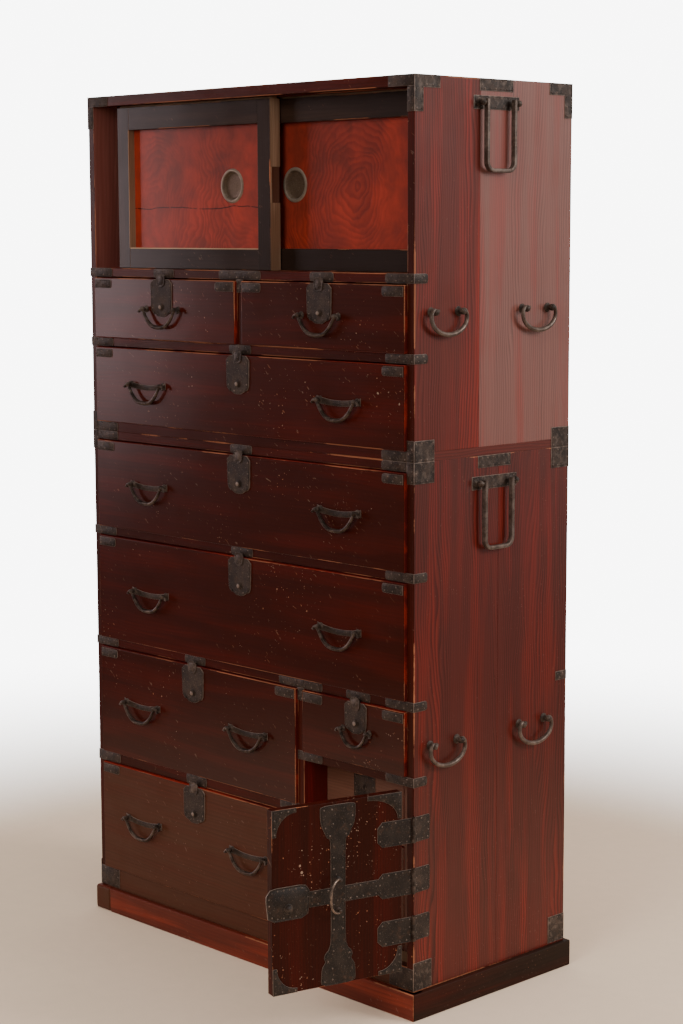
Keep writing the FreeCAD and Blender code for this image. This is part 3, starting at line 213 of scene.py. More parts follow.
def outward(points, quads, caps):
    """The quads and caps turned so that the closed surface encloses a positive volume."""
    fan = np.concatenate([quads[:, [0, 1, 2]], quads[:, [0, 2, 3]]])
    for cap in caps:
        cap = np.array(cap)
        fan = np.concatenate([fan, np.stack([np.full(len(cap) - 2, cap[0]), cap[1:-1], cap[2:]], axis=1)])
    a, b, c = points[fan[:, 0]], points[fan[:, 1]], points[fan[:, 2]]
    if np.einsum("ij,ij->i", a, np.cross(b, c)).sum() < 0:
        return quads[:, ::-1], [cap[::-1] for cap in caps]
    return quads, caps


def skin(rings):
    """Rings of points joined by quads, the two ends closed flat: (points, quads, caps)."""
    rows, columns = rings.shape[:2]
    points = rings.reshape(-1, 3)
    last = (rows - 1) * columns
    ends = [list(range(columns))[::-1], list(range(last, last + columns))]
    return points, *outward(points, grid_quads(rows, columns, True), ends)


def plate_surface(outline, thickness, bevel=0.5 * MM, rim=0.0):
    """A plate: its outline moved inwards by a profile of (inset, height) steps.

    Every corner moves along its mitre, the sum of its two edges' inward normals
    over one plus their product, so all edges move in by the same distance.
    """
    edge = np.roll(outline, -1, axis=0) - outline
    edge = edge / np.linalg.norm(edge, axis=1, keepdims=True)
    x, y = outline[:, 0], outline[:, 1]
    area = (x * np.roll(y, -1) - np.roll(x, -1) * y).sum()
    normal = np.column_stack([-edge[:, 1], edge[:, 0]]) * np.sign(area)
    before = np.roll(normal, 1, axis=0)
    mitre = (normal + before) / (1 + (normal * before).sum(axis=1, keepdims=True))
    steps = [(0, 0), (0, thickness - bevel), (bevel * 0.3, thickness - bevel * 0.3), (bevel, thickness)]
    if rim:
        steps += [(rim, thickness), (rim * 1.25, thickness - 0.35 * MM), (rim * 1.7, thickness - 0.35 * MM)]
        steps += [(rim * 1.95, thickness)]
    inset, height = np.array(steps).T
    flat = outline[None] + mitre[None] * inset[:, None, None]
    rings = np.concatenate([flat, np.broadcast_to(height[:, None, None], flat.shape[:2] + (1,))], axis=2)
    return skin(rings)


def turned_surface(profile, segments=24):
    """A profile of (radius, height) carried round the outward axis."""
    angle = 2 * math.pi * np.arange(segments) / segments
    radius, height = np.array(profile, float).T
    rings = np.empty((len(radius), segments, 3))
    rings[..., 0] = radius[:, None] * np.cos(angle)
    rings[..., 1] = radius[:, None] * np.sin(angle)
    rings[..., 2] = height[:, None]
    return skin(rings)


def smooth_line(points, rounds=4):
    """Corner cutting: each run keeps the points at a quarter and three quarters of it."""
    line = np.array(points, float)
    for _ in range(rounds):
        near = 0.75 * line[:-1] + 0.25 * line[1:]
        far = 0.25 * line[:-1] + 0.75 * line[1:]
        inner = np.stack([near, far], axis=1).reshape(-1, line.shape[1])
        line = np.concatenate([line[:1], inner, line[-1:]])
    return line


def even_line(line, count):
    """The same line with a count of points at equal distances along it."""
    along = np.concatenate([[0], np.cumsum(np.linalg.norm(np.diff(line, axis=0), axis=1))])
    stations = np.linspace(0, along[-1], count)
    return np.column_stack([np.interp(stations, along, line[:, axis]) for axis in range(line.shape[1])])


def swept_surface(line, profile, size):
    """A closed profile carried along a line in the plane of the face.

    Each point is the line plus its size times the profile's first value along
    the line's own left-hand normal, and its second value outwards. A size may
    be one number or a pair for the two.
    """
    way = np.gradient(line, axis=0)
    way = way / np.linalg.norm(way, axis=1, keepdims=True)
    left = np.column_stack([-way[:, 1], way[:, 0]])
    size = np.reshape(size, (len(line), -1))
    flat = line[:, None, :] + (size[:, :1] * profile[None, :, 0])[..., None] * left[:, None, :]
    out = size[:, -1:] * profile[None, :, 1]
    return skin(np.concatenate([flat, out[..., None]], axis=2))


def round_profile(sides):
    """A circle of unit radius as profile points."""
    angle = 2 * math.pi * np.arange(sides) / sides
    return np.column_stack([np.cos(angle), np.sin(angle)])


class Metalwork:
    """Gathers closed surfaces into one mesh."""

    def __init__(self):
        self.points, self.faces, self.rub, self.count = [], [], [], 0

    def add(self, surface, matrix, rub=0.35):
        """Adds a surface at a place, with a brightness for each point: wear by hands, and also painted highlight where
        light would catch edges, nail heads and domes.
        """
        points, quads, caps = surface
        self.points.append(moved(points, matrix))
        self.rub.append(np.broadcast_to(rub, len(points)))
        self.faces += (quads + self.count).tolist()
        self.faces += [[corner + self.count for corner in cap] for cap in caps]
        self.count += len(points)

    def turn(self, profile, matrix, segments=16, rub=0.35):
        """Adds a turned shape from its (radius, height) points in millimetres."""
        self.add(turned_surface(np.array(profile) * MM, segments), matrix, rub)

    def nails(self, places, matrix, radius, height):
        """Domed nail heads on a face: one ring at the foot, one at half height, one at the top."""
        angle = 2 * math.pi * np.arange(8) / 8
        ring = np.column_stack([np.cos(angle), np.sin(angle), np.zeros(8)])
        levels = [(1.0, 0.0), (0.82, 0.62), (0.4, 1.0)]
        dome = np.concatenate([ring * [radius * r, radius * r, 0] + [0, 0, height * h] for r, h in levels])
        quads, caps = outward(dome, grid_quads(3, 8, True), [list(range(8))[::-1], list(range(16, 24))])
        for x, y, z in places:
            # Nail heads painted brighter: partly worn iron, partly painted highlight
            self.add((dome + [x, y, z], quads, caps), matrix, 0.55)

    def piece(self, name, body, nodes, material):
        """Makes the mesh object and hands it to its body."""
        mesh = bpy.data.meshes.new(name)
        mesh.from_pydata(np.concatenate(self.points).tolist(), [], self.faces)
        mesh.polygons.foreach_set("use_smooth", np.ones(len(mesh.polygons), bool))
        mesh.set_sharp_from_angle(angle=math.radians(38))
        mesh.materials.append(material)
        layer = mesh.attributes.new("rub", "FLOAT", "POINT")
        layer.data.foreach_set("value", np.concatenate(self.rub).astype(np.float32))
        return hand_over(name, mesh, body, nodes)


def hand_over(name, mesh, body, nodes):
    """Links a mesh as a piece that rides on a body in place of its nodes."""
    piece = bpy.data.objects.new(name, mesh)
    bpy.context.scene.collection.objects.link(piece)
    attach(piece, body)
    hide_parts(*nodes)
    return piece


def board_surface(board):
    """A board with rounded arrises, from six grids over its box.

    A point of a grid is clamped into the box shrunk by the rounding, and set
    one rounding away from there in its own direction.
    """
    low, high, arris = np.array(board.low, float), np.array(board.high, float), board.arris
    arris = min(arris, (high - low).min() * 0.45)
    points, normals, quads, sides = [], [], [], []
    steps = arris * np.array([0.0, 1 - math.tan(math.pi / 8), 1.0])
    count = 0
    for axis in range(3):
        first, second = (axis + 1) % 3, (axis + 2) % 3
        across = np.concatenate([low[first] + steps, high[first] - steps[::-1]])
        upward = np.concatenate([low[second] + steps, high[second] - steps[::-1]])
        for end in (0, 1):
            grid = np.empty((len(across), len(upward), 3))
            grid[..., first] = across[:, None]
            grid[..., second] = upward[None, :]
            grid[..., axis] = (low, high)[end][axis]
            grid = grid.reshape(-1, 3)
            core = np.clip(grid, low + arris, high - arris)
            away = grid - core
            away /= np.linalg.norm(away, axis=1, keepdims=True)
            face = grid_quads(len(across), len(upward), False) + count
            quads.append(face[:, ::-1] if end else face)
            sides.append(np.full(len(face), axis * 2 + end))
            points.append(core + away * arris)
            normals.append(away)
            count += len(grid)
    points, normals = np.concatenate(points), np.concatenate(normals)
    _, kept, number = np.unique(np.round(points / 1e-7), axis=0, return_index=True, return_inverse=True)
    return points[kept], normals[kept], number.reshape(-1)[np.concatenate(quads)], np.concatenate(sides)


def pierced_surface(board):
    """A panel with a round hole: four rings, from the hole's front edge round to its back edge.

    Each ring has one point in every direction from the hole's middle, the
    panel's corners among them; the outer rings lie on the panel's outline.
    """
    low, high = np.array(board.low, float), np.array(board.high, float)
    x, z, radius = board.hole
    corner_x = np.array([high[0], low[0], low[0], high[0]]) - x
    corner_z = np.array([high[2], high[2], low[2], low[2]]) - z
    corners = np.arctan2(corner_z, corner_x)
    angle = np.sort(np.concatenate([2 * math.pi * np.arange(64) / 64 - math.pi + 0.01, corners]))
    way = np.column_stack([np.cos(angle), np.sin(angle)])
    limit = np.where(way > 0, [high[0] - x, high[2] - z], [low[0] - x, low[2] - z]) / way
    edge = np.abs(limit).min(axis=1)
    rings = np.empty((4, len(angle), 3))
    for row, (reach, y) in enumerate(((radius, low[1]), (edge, low[1]), (edge, high[1]), (radius, high[1]))):
        rings[row, :, 0] = x + reach * way[:, 0]
        rings[row, :, 1] = y
        rings[row, :, 2] = z + reach * way[:, 1]
    count = len(angle)
    quads = grid_quads(5, count, True) % (4 * count)
    normals = np.zeros((4 * count, 3))
    normals[:, 1] = np.repeat([-1.0, -1.0, 1.0, 1.0], count)
    points = rings.reshape(-1, 3)
    quads, _ = outward(points - points.mean(axis=0), quads, [])
    return points, normals, quads, np.repeat([2, 3, 3, 3], count)


def wood_piece(name, boards, body, nodes, seed, matrix=None):
    """Boards joined into one piece, each point knowing its place in its own board.

    Attributes: grain, the place across, through and along the fibres with the
    board's own start; reach, the place from the board's middle; half, the
    board's half size; tone, one number for the board. A side that is a joint
    counts as lying 0.1 m further out, so its edges are far and stay unworn.
    """
    chance = np.random.default_rng(seed)
    finishes = sorted({board.finish for board in boards} | {f for board in boards for f in board.faces.values()})
    points, normals, quads, index, grain, reach, half, tone = [], [], [], [], [], [], [], []
    count = 0
    for board in boards:
        p, n, q, sides = pierced_surface(board) if board.hole else board_surface(board)
        low, high = np.array(board.low, float), np.array(board.high, float)
        for side in board.joints:
            (low, high)[side % 2][side // 2] += 0.1 * (1 if side % 2 else -1)
        middle = (low + high) / 2
        axes = [axis for axis in range(3) if axis != board.grain] + [board.grain]
        start = chance.uniform(-5, 5, 3)
        look = np.array([finishes.index(board.faces.get(side, board.finish)) for side in range(6)])
        points.append(p)
        normals.append(n)
        quads.append(q + count)
        index.append(look[sides])
        grain.append((p - middle)[:, axes] + start)
        reach.append(p - middle)
        half.append(np.broadcast_to((high - low) / 2, p.shape))
        tone.append(np.full(len(p), chance.uniform()))
        count += len(p)
    points, normals = np.concatenate(points), np.concatenate(normals)
    if matrix is not None:
        points, normals = moved(points, matrix), normals @ matrix[:3, :3].T
    mesh = bpy.data.meshes.new(name)
    mesh.from_pydata(points.tolist(), [], np.concatenate(quads).tolist())
    for finish in finishes:
        mesh.materials.append(wood_finish(finish))
    mesh.polygons.foreach_set("material_index", np.concatenate(index).astype(np.int32))
    mesh.polygons.foreach_set("use_smooth", np.ones(len(mesh.polygons), bool))
    for label, values in (("grain", grain), ("reach", reach), ("half", half)):
        layer = mesh.attributes.new(label, "FLOAT_VECTOR", "POINT")
        layer.data.foreach_set("vector", np.concatenate(values).astype(np.float32).ravel())
    layer = mesh.attributes.new("tone", "FLOAT", "POINT")
    layer.data.foreach_set("value", np.concatenate(tone).astype(np.float32))
    mesh.normals_split_custom_set_from_vertices(normals.tolist())
    return hand_over(name, mesh, body, nodes)


# ---- finishes ----

class Nodes:
    """A node tree filled by calls that each give back the result's socket."""

    def __init__(self, tree):
        self.tree = tree

    def add(self, kind, inputs=None, out=0, **settings):
        """Adds a node, sets it up and feeds its inputs with values or sockets."""
        node = self.tree.nodes.new(kind)
        for name, value in settings.items():
            setattr(node, name, value)
        for name, value in (inputs or {}).items():
            if isinstance(value, bpy.types.NodeSocket):
                self.tree.links.new(value, node.inputs[name])
            else:
                node.inputs[name].default_value = value
        return node.outputs[out]

    def math(self, operation, *values, clamp=False):
        """A sum of one kind on one, two or three values."""
        return self.add("ShaderNodeMath", dict(enumerate(values)), operation=operation, use_clamp=clamp)

    def mix(self, share, one, other):
        """One colour passing into another by a share."""
        inputs = {0: share, 6: one, 7: other}
        return self.add("ShaderNodeMix", inputs, 2, data_type="RGBA", clamp_factor=True)

    def span(self, value, low, high, to_low=0.0, to_high=1.0):
        """A value between two limits, eased to run between two others."""
        inputs = {0: value, 1: low, 2: high, 3: to_low, 4: to_high}
        return self.add("ShaderNodeMapRange", inputs, interpolation_type="SMOOTHSTEP")

    def noise(self, place, scale, detail=3.0, roughness=0.55, distortion=0.0):
        """A cloudy value between 0 and 1."""
        inputs = {"Vector": place, "Scale": scale, "Detail": detail, "Roughness": roughness, "Distortion": distortion}
        return self.add("ShaderNodeTexNoise", inputs, "Fac")

    def vector(self, operation, *values, out=0):
        """A sum of one kind on places."""
        return self.add("ShaderNodeVectorMath", dict(enumerate(values)), out, operation=operation)

    def scaled(self, place, x, y, z):
        """A place with each of its axes stretched."""
        return self.vector("MULTIPLY", place, (x, y, z))

    def parts(self, place):
        """The three numbers of a place."""
        return self.add("ShaderNodeSeparateXYZ", {0: place}).node.outputs

    def here(self):
        """The place in the object's own frame."""
        return self.add("ShaderNodeTexCoord", out="Object")

    def attribute(self, name, out="Vector"):
        """An attribute of the mesh."""
        return self.add("ShaderNodeAttribute", out=out, attribute_name=name)

    def group(self, tree, inputs):
        """The results of a node group with its own values."""
        return self.add("ShaderNodeGroup", inputs, node_tree=tree).node.outputs


def new_group(name, inputs, outputs):
    """An empty node group with named sockets: (tree, its inputs, its output node)."""
    tree = bpy.data.node_groups.new(name, "ShaderNodeTree")
    for label, kind, value in inputs:
        socket = tree.interface.new_socket(label, in_out="INPUT", socket_type=kind)
        if value is not None:
            socket.default_value = value
    for label, kind in outputs:
        tree.interface.new_socket(label, in_out="OUTPUT", socket_type=kind)
    return tree, tree.nodes.new("NodeGroupInput").outputs, tree.nodes.new("NodeGroupOutput").inputs


@cache
def arris_group():
    """Worn arrises: the distance to the board's nearest edge, broken up by two noises."""
    inputs = [("Width", "NodeSocketFloat", 0.0015), ("Amount", "NodeSocketFloat", 0.5)]
    tree, given, result = new_group("worn_arris", inputs, [("Mask", "NodeSocketFloat")])
    n = Nodes(tree)
    reach = n.vector("ABSOLUTE", n.attribute("reach"))
    apart = n.parts(n.vector("SUBTRACT", n.attribute("half"), reach))
    low = n.math("MINIMUM", apart[0], apart[1])
    high = n.math("MAXIMUM", apart[0], apart[1])
    middle = n.math("MAXIMUM", low, n.math("MINIMUM", high, apart[2]))
    place = n.here()
    rough = n.noise(place, 42.0, 4.0, 0.65)
    broad = n.noise(place, 6.0, 2.0)
    amount = n.math("ADD", n.span(broad, 0.35, 0.7, -0.35, 0.35), given["Amount"])
    uneven = n.math("ADD", rough, n.math("SUBTRACT", amount, 0.5))
    width = n.math("MULTIPLY", given["Width"], n.span(uneven, 0.4, 0.75, 0.05, 1.9))
    mask = n.math("SUBTRACT", 1.0, n.math("DIVIDE", middle, n.math("MAXIMUM", width, 0.00001)), clamp=True)
    tree.links.new(n.span(mask, 0.0, 0.45), result["Mask"])
    return tree


@cache
def fibre_group():
    """Straight grain with gentle arches.

    Rings are the fraction of the place across, plus a slow wave, over the
    ring spacing. Flames are long pointed patches: a noise drawn out along the
    fibres and cut at a level. Fibres are the same, very fine.
    """
    inputs = [(label, "NodeSocketFloat", value) for label, value in (("Spacing", 0.006), ("Wave", 0.04), ("Slow", 1.1))]
    outputs = [(label, "NodeSocketFloat") for label in ("Rings", "Fibres", "Flames")]
    tree, given, result = new_group("straight_grain", inputs, outputs)
    n = Nodes(tree)
    grain = n.attribute("grain")
    apart = n.parts(grain)
    drawn_places = [n.math("MULTIPLY", apart[axis], pull) for axis, pull in enumerate((5.0, 5.0, given["Slow"]))]
    drawn = n.add("ShaderNodeCombineXYZ", dict(enumerate(drawn_places)))
    wave = n.math("MULTIPLY", n.noise(drawn, 1.5, 3.0, 0.5), given["Wave"])
    across = n.math("ADD", n.math("ADD", apart[0], apart[1]), wave)
    ring = n.math("FRACT", n.math("DIVIDE", across, given["Spacing"]))
    line = n.math("MULTIPLY", n.span(ring, 0.2, 0.85), n.span(ring, 1.0, 0.88))
    strength = n.span(n.noise(n.scaled(grain, 30, 30, 1.5), 1.0, 3.0), 0.35, 0.65, 0.4, 1.0)
    tree.links.new(n.math("MULTIPLY", line, strength), result["Rings"])
    tree.links.new(n.noise(n.scaled(grain, 640, 640, 7), 1.0, 4.0, 0.62), result["Fibres"])
    tree.links.new(n.noise(n.scaled(grain, 30, 30, 2.2), 1.0, 3.0, 0.5, 0.3), result["Flames"])
    return tree


@cache
def chips_group():
    """Chipped lacquer: two sizes of scattered specks, thicker where a cloud is dense, and thin scratches.

    A speck is the part of a random cell nearer to its point than a radius
    that the cell's own random number gives.
    """
    tree, given, result = new_group("chips", [("Amount", "NodeSocketFloat", 0.5)], [("Mask", "NodeSocketFloat")])
    n = Nodes(tree)
    place = n.here()
    crumbled = n.add("ShaderNodeTexNoise", {"Vector": place, "Scale": 260.0, "Detail": 2.0}, "Color")
    bent = n.vector("MULTIPLY_ADD", crumbled, (0.0035, 0.0035, 0.0035), place)
    cloud = n.math("MULTIPLY", n.span(n.noise(place, 7.0, 3.0, 0.6), 0.32, 0.68), given["Amount"])
    masks = []
    for scale, rare, radius in ((75.0, 0.80, 0.20), (210.0, 0.72, 0.26)):
        cell = n.add("ShaderNodeTexVoronoi", {"Vector": bent, "Scale": scale}).node.outputs
        chance = n.add("ShaderNodeSeparateColor", {0: cell["Color"]})
        lowered = n.math("ADD", chance, n.math("MULTIPLY", n.math("SUBTRACT", cloud, 0.5), 0.5))
        masks.append(n.math("LESS_THAN", cell["Distance"], n.span(lowered, rare, 1.1, 0.0, radius)))
    turned = n.add("ShaderNodeMapping", {"Vector": place, "Rotation": (0.4, 0.9, 0.3)})
    thin = n.noise(n.scaled(turned, 240, 240, 10), 1.0, 2.0, 0.5)
    scratch = n.math("MULTIPLY", n.span(thin, 0.70, 0.72), n.math("MULTIPLY", cloud, 0.8))
    tree.links.new(n.math("MAXIMUM", n.math("MAXIMUM", *masks), scratch), result["Mask"])
    return tree


def new_material(name, **sockets):
    """A material with one Principled shader: (material, its nodes, the shader)."""
    material = bpy.data.materials.new(name)
    material.use_nodes = True
    shader = material.node_tree.nodes["Principled BSDF"]
    for label, value in sockets.items():
        shader.inputs[label.replace("_", " ")].default_value = value
    return material, Nodes(material.node_tree), shader


def finish_material(nodes, shader, colour, roughness, height, distance):
    """Joins colour, roughness and a bump height to the shader."""
    links = nodes.tree.links
    links.new(colour, shader.inputs["Base Color"])
    links.new(roughness, shader.inputs["Roughness"])
    bump = nodes.add("ShaderNodeBump", {"Height": height, "Distance": distance, "Strength": 1.0})
    links.new(bump, shader.inputs["Normal"])


def darker(colours, share):
    """A colour made darker, with full opacity."""
    return (*(share * c for c in colours[:3]), 1.0)


def colour(name, share=1.0):
    """A colour of the panel, made darker by a share."""
    return darker(getattr(bpy.context.scene.chest_colours, name), share)


def lacquered(name, deep, bright, spacing=0.006, wave=0.06, ring=0.4, streak=0.6, wear=0.5, width=0.0009, chips=0.4,
              coat=0.2, coat_roughness=0.18, rough=0.44, gloss=0.12):
    """Lacquer over grain: rings and flames mix two colours, worn arrises and chips show bare wood."""
    material, n, shader = new_material(name, Coat_Weight=coat, Coat_Roughness=coat_roughness, Specular_IOR_Level=gloss)
    grain = n.group(fibre_group(), {"Spacing": spacing, "Wave": wave})
    place_now = n.here()
    tone = n.span(n.attribute("tone", "Fac"), 0.0, 1.0, -0.1, 0.1)
    clouds = n.span(n.noise(place_now, 3.0, 3.0, 0.55), 0.3, 0.7, -0.2, 0.2)
    share = n.math("ADD", n.math("ADD", n.span(grain["Flames"], 0.42, 0.68), tone), clouds)
    mixed = n.mix(n.math("MULTIPLY", share, streak, clamp=True), deep, bright)
    lines = n.mix(n.math("MULTIPLY", grain["Rings"], ring), mixed, darker(deep, 0.4))
    fine = n.mix(n.span(grain["Fibres"], 0.35, 0.75, 0.0, 0.35), lines, darker(deep, 0.5))
    worn = n.group(arris_group(), {"Width": width, "Amount": wear})["Mask"]
    chipped = n.group(chips_group(), {"Amount": chips})["Mask"]
    tan = n.mix(n.span(grain["Fibres"], 0.3, 0.7), colour("worn_edge"), colour("worn_edge", 0.4))
    speck = n.mix(n.span(n.noise(place_now, 60.0), 0.4, 0.6), colour("chip"), tan)
    result = n.mix(worn, n.mix(chipped, fine, speck), tan)
    bare = n.math("MAXIMUM", worn, chipped)
    cloud = n.noise(place_now, 11.0, 4.0, 0.6)
    roughness = n.math("ADD", n.math("MULTIPLY", bare, 0.3), n.span(cloud, 0.3, 0.75, rough - 0.08, rough + 0.12))
    sunk = n.math("ADD", bare, n.math("MULTIPLY", grain["Fibres"], 0.2))
    height = n.math("SUBTRACT", n.math("MULTIPLY", grain["Rings"], -0.25), sunk)
    finish_material(n, shader, result, roughness, height, 0.0003)
    return material


# Each lacquer: the material's name, the colours of ground and streaks with their shares, and what else differs
LACQUERS = {
    # Translucent red over straight grain; the lower sides are deeper, the upper ones have a paler plank at the
    # back, its pinkish-grey ground partly painted sheen of the room mirrored in it, and stand on a darker sill
    "side": ("side_lacquer", ("side_dark",), ("side_red",), dict(
        spacing=0.0062, wave=0.085, ring=0.8, streak=0.55, wear=0.66, width=0.0019, chips=0.2, coat=0.14,
        coat_roughness=0.22)),
    "low_side": ("side_lacquer_low", ("side_dark", 0.72), ("side_red", 0.74), dict(
        spacing=0.0062, wave=0.1, ring=0.8, streak=0.6, wear=0.6, width=0.0017, chips=0.3, coat=0.22,
        coat_roughness=0.22)),
    "sill": ("sill_lacquer", ("side_dark", 0.8), ("side_dark",), dict(
        ring=0.7, streak=0.6, wear=0.3, chips=0.3, coat=0.16, coat_roughness=0.25)),
    "side_back": ("side_lacquer_hazy", ("side_pale_and_sheen",), ("side_red",), dict(
        spacing=0.0062, wave=0.08, ring=0.72, streak=0.5, wear=0.45, width=0.0011, chips=0.15, coat=0.34,
        coat_roughness=0.28, gloss=0.15)),
    # Dark brown on rails and front edges, darker and chipped on the drawer fronts, dull on the door and below
    "rail": ("rail_lacquer", ("front_dark",), ("front_red",), dict(
        spacing=0.005, ring=0.35, streak=0.6, wear=0.6, chips=0.5, coat=0.12, coat_roughness=0.12, gloss=0.06)),
    "drawer": ("drawer_lacquer", ("front_dark",), ("front_red",), dict(
        spacing=0.008, ring=0.22, streak=0.5, wear=0.62, chips=0.62, coat=0.42, coat_roughness=0.085, gloss=0.05)),
    "door": ("door_lacquer", ("front_dark", 0.75), ("front_red", 0.8), dict(
        streak=0.6, wear=0.34, width=0.001, chips=0.95, coat=0.05, rough=0.5, gloss=0.06)),
    "low_drawer": ("drawer_lacquer_low", ("low_brown",), ("front_red",), dict(
        spacing=0.008, ring=0.22, streak=0.25, coat=0.08, rough=0.5, gloss=0.08)),
    # Clear red on the edges of the drawer fronts and inside the case, browner beside the sliding doors
    "edge": ("edge_lacquer", ("inner_red",), ("edge_red",), dict(spacing=0.008, ring=0.2, streak=0.9, wear=0.7)),
    "inner_red": ("inner_lacquer", ("inner_red",), ("inner_bright",), dict(spacing=0.008, wear=0.4, chips=0.35)),
    "inner_worn": ("inner_lacquer_worn", ("inner_wall",), ("inner_red",), dict(
        spacing=0.008, streak=0.3, chips=0.6)),
    # Plain brown inner drawers, raw softwood, and wood laid bare by hands; the bead's tan also paints light on the left
    # door's stile reveal and foot rail top
    "brown": ("brown_wood", ("inner_brown",), ("low_brown",), dict(
        ring=0.35, streak=0.5, wear=0.35, chips=0.3, coat=0.05, rough=0.55)),
    "bare": ("bare_wood", ("raw_dark",), ("raw_wood",), dict(
        spacing=0.0042, wave=0.05, streak=0.5, wear=0.1, width=0.0006, chips=0.05, coat=0.0, rough=0.68)),
    "bead": ("worn_bead", ("bead_brown",), ("bead_tan",), dict(
        spacing=0.004, streak=1.0, ring=0.3, chips=0.2, coat=0.0, rough=0.6)),
    # Near-black frames of the sliding doors, and the plinth's red front and darker ends
    "frame": ("frame_lacquer", ("frame_black",), ("frame_brown",), dict(
        ring=0.2, streak=0.5, wear=0.42, width=0.0008, chips=0.25, coat=0.26, coat_roughness=0.07, rough=0.4,
        gloss=0.06)),
    "plinth": ("plinth_lacquer", ("plinth_red",), ("plinth_bright",), dict(
        spacing=0.007, ring=0.3, streak=0.8, width=0.0013, chips=0.5, coat=0.1, coat_roughness=0.25, rough=0.5)),
    "plinth_side": ("plinth_lacquer_dark", ("plinth_brown",), ("front_red",), dict(
        spacing=0.007, ring=0.35, streak=0.35, wear=0.22, width=0.0008, coat=0.05, rough=0.52, gloss=0.05)),
}

# Each panel: the material's name, its two hearts, and whether it has a crack
PANELS = {
    "burl": ("burl_lacquer", (0.55, 0.35), (-1.2, 1.3), False),
    "cracked_burl": ("burl_lacquer_cracked", (-0.35, 0.3), (1.4, 1.2), True),
}

# Each iron: its dark, worn and bright colours with their shares, then roughness, metal and relief. The bright colour is
# wear and also painted highlight. The plates are the flat fittings, the straps the safe door's, the handles those of
# the sides, whose lighter grey is partly painted sheen, the bars the other bails and pins
IRONS = {
    "plate": (("iron_dark",), ("iron_worn",), ("iron_bright",), 0.5, 0.3, 0.0003),
    "strap": (("iron_dark", 0.6), ("iron_worn", 0.45), ("iron_bright", 0.85), 0.46, 0.25, 0.0003),
    # Side handles: lighter grey, partly wear, partly painted sheen of the bright room mirrored in them
    "handle": (("iron_worn",), ("handle_grey",), ("iron_bright",), 0.4, 0.4, 0.00008),
    "bar": (("iron_dark",), ("iron_worn",), ("iron_bright",), 0.36, 0.6, 0.00008),
    "cup": (("cup_dark",), ("cup_bronze",), ("cup_rim",), 0.46, 0.5, 0.0001),
}


@cache
def wood_finish(finish):
    """The material of one finish of wood."""
    if finish in PANELS:
        return figured(*PANELS[finish])
    name, deep, bright, values = LACQUERS[finish]
    return lacquered(name, colour(*deep), colour(*bright), **values)


@cache
def iron_finish(finish):
    """The material of one finish of iron."""
    dark, worn, bright, *values = IRONS[finish]
    return iron(finish + "_iron", colour(*dark), colour(*worn), colour(*bright), *values)


def figured(name, heart, other, cracked):
    """Figured panel: close rings about two hearts, crossed by swirls.

    A heart lies at shares of the panel's half size from its middle. The rings
    are the fraction of the distance to the nearer heart, the place first bent
    by a slow noise, over the ring spacing. The crack is a thin line at one
    level that a noise bends and breaks.
    """
    material, n, shader = new_material(name, Coat_Weight=0.2, Coat_Roughness=0.06, Specular_IOR_Level=0.08)
    grain = n.attribute("grain")
    place_now, size = n.attribute("reach"), n.attribute("half")
    bend = n.add("ShaderNodeTexNoise", {"Vector": place_now, "Scale": 8.0, "Detail": 3.0, "Roughness": 0.5}, "Color")
    pushed = n.vector("MULTIPLY_ADD", bend, (0.13, 0.0, 0.09), place_now)
    away = []
    for x, z in (heart, other):
        off = n.vector("MULTIPLY_ADD", size, (-x, 0.0, -z), pushed)
        away.append(n.vector("LENGTH", n.scaled(off, 1.0, 0.0, 0.85), out="Value"))
    near = n.math("MINIMUM", away[0], n.math("ADD", away[1], 0.03))
    uneven = n.math("MULTIPLY", n.noise(pushed, 16.0, 2.0), 0.02)
    ring = n.math("FRACT", n.math("MULTIPLY", n.math("ADD", near, uneven), 96.0))
    line = n.math("MULTIPLY", n.span(ring, 0.1, 0.75), n.span(ring, 1.0, 0.85))
    faint = n.span(n.noise(n.scaled(grain, 9, 3, 9), 1.0, 2.0), 0.38, 0.62, 0.1, 1.0)
    line = n.math("MULTIPLY", line, faint)
    cloud = n.noise(n.scaled(grain, 7, 3, 5), 1.0, 3.0, 0.6)
    swirl = n.noise(pushed, 20.0, 3.0, 0.6)
    share = n.math("ADD", n.span(cloud, 0.3, 0.7), n.span(swirl, 0.3, 0.7, -0.3, 0.3), clamp=True)
    mixed = n.mix(share, colour("burl_dark"), colour("burl_red"))
    lined = n.mix(n.math("MULTIPLY", line, 0.42), mixed, colour("burl_dark", 0.6))
    fibres = n.noise(n.scaled(grain, 800, 60, 160), 1.0, 3.0, 0.6)
    result = n.mix(n.span(fibres, 0.45, 0.8, 0.0, 0.2), lined, colour("burl_dark", 0.5))
    if cracked:
        level = n.math("ADD", n.parts(place_now)[2], 0.038)
        wander = n.math("MULTIPLY", n.math("SUBTRACT", n.noise(n.scaled(grain, 12, 12, 12), 1.0, 3.0), 0.5), 0.012)
        off = n.math("ABSOLUTE", n.math("ADD", level, wander))
        broken = n.span(n.noise(n.scaled(grain, 30, 30, 30), 1.0), 0.36, 0.46)
        crack = n.math("MULTIPLY", n.span(off, 0.0014, 0.0003), broken)
        result = n.mix(crack, result, colour("burl_dark", 0.12))
    finish_material(n, shader, result, n.span(cloud, 0.3, 0.7, 0.3, 0.42), n.math("MULTIPLY", line, -0.3), 0.0002)
    return material


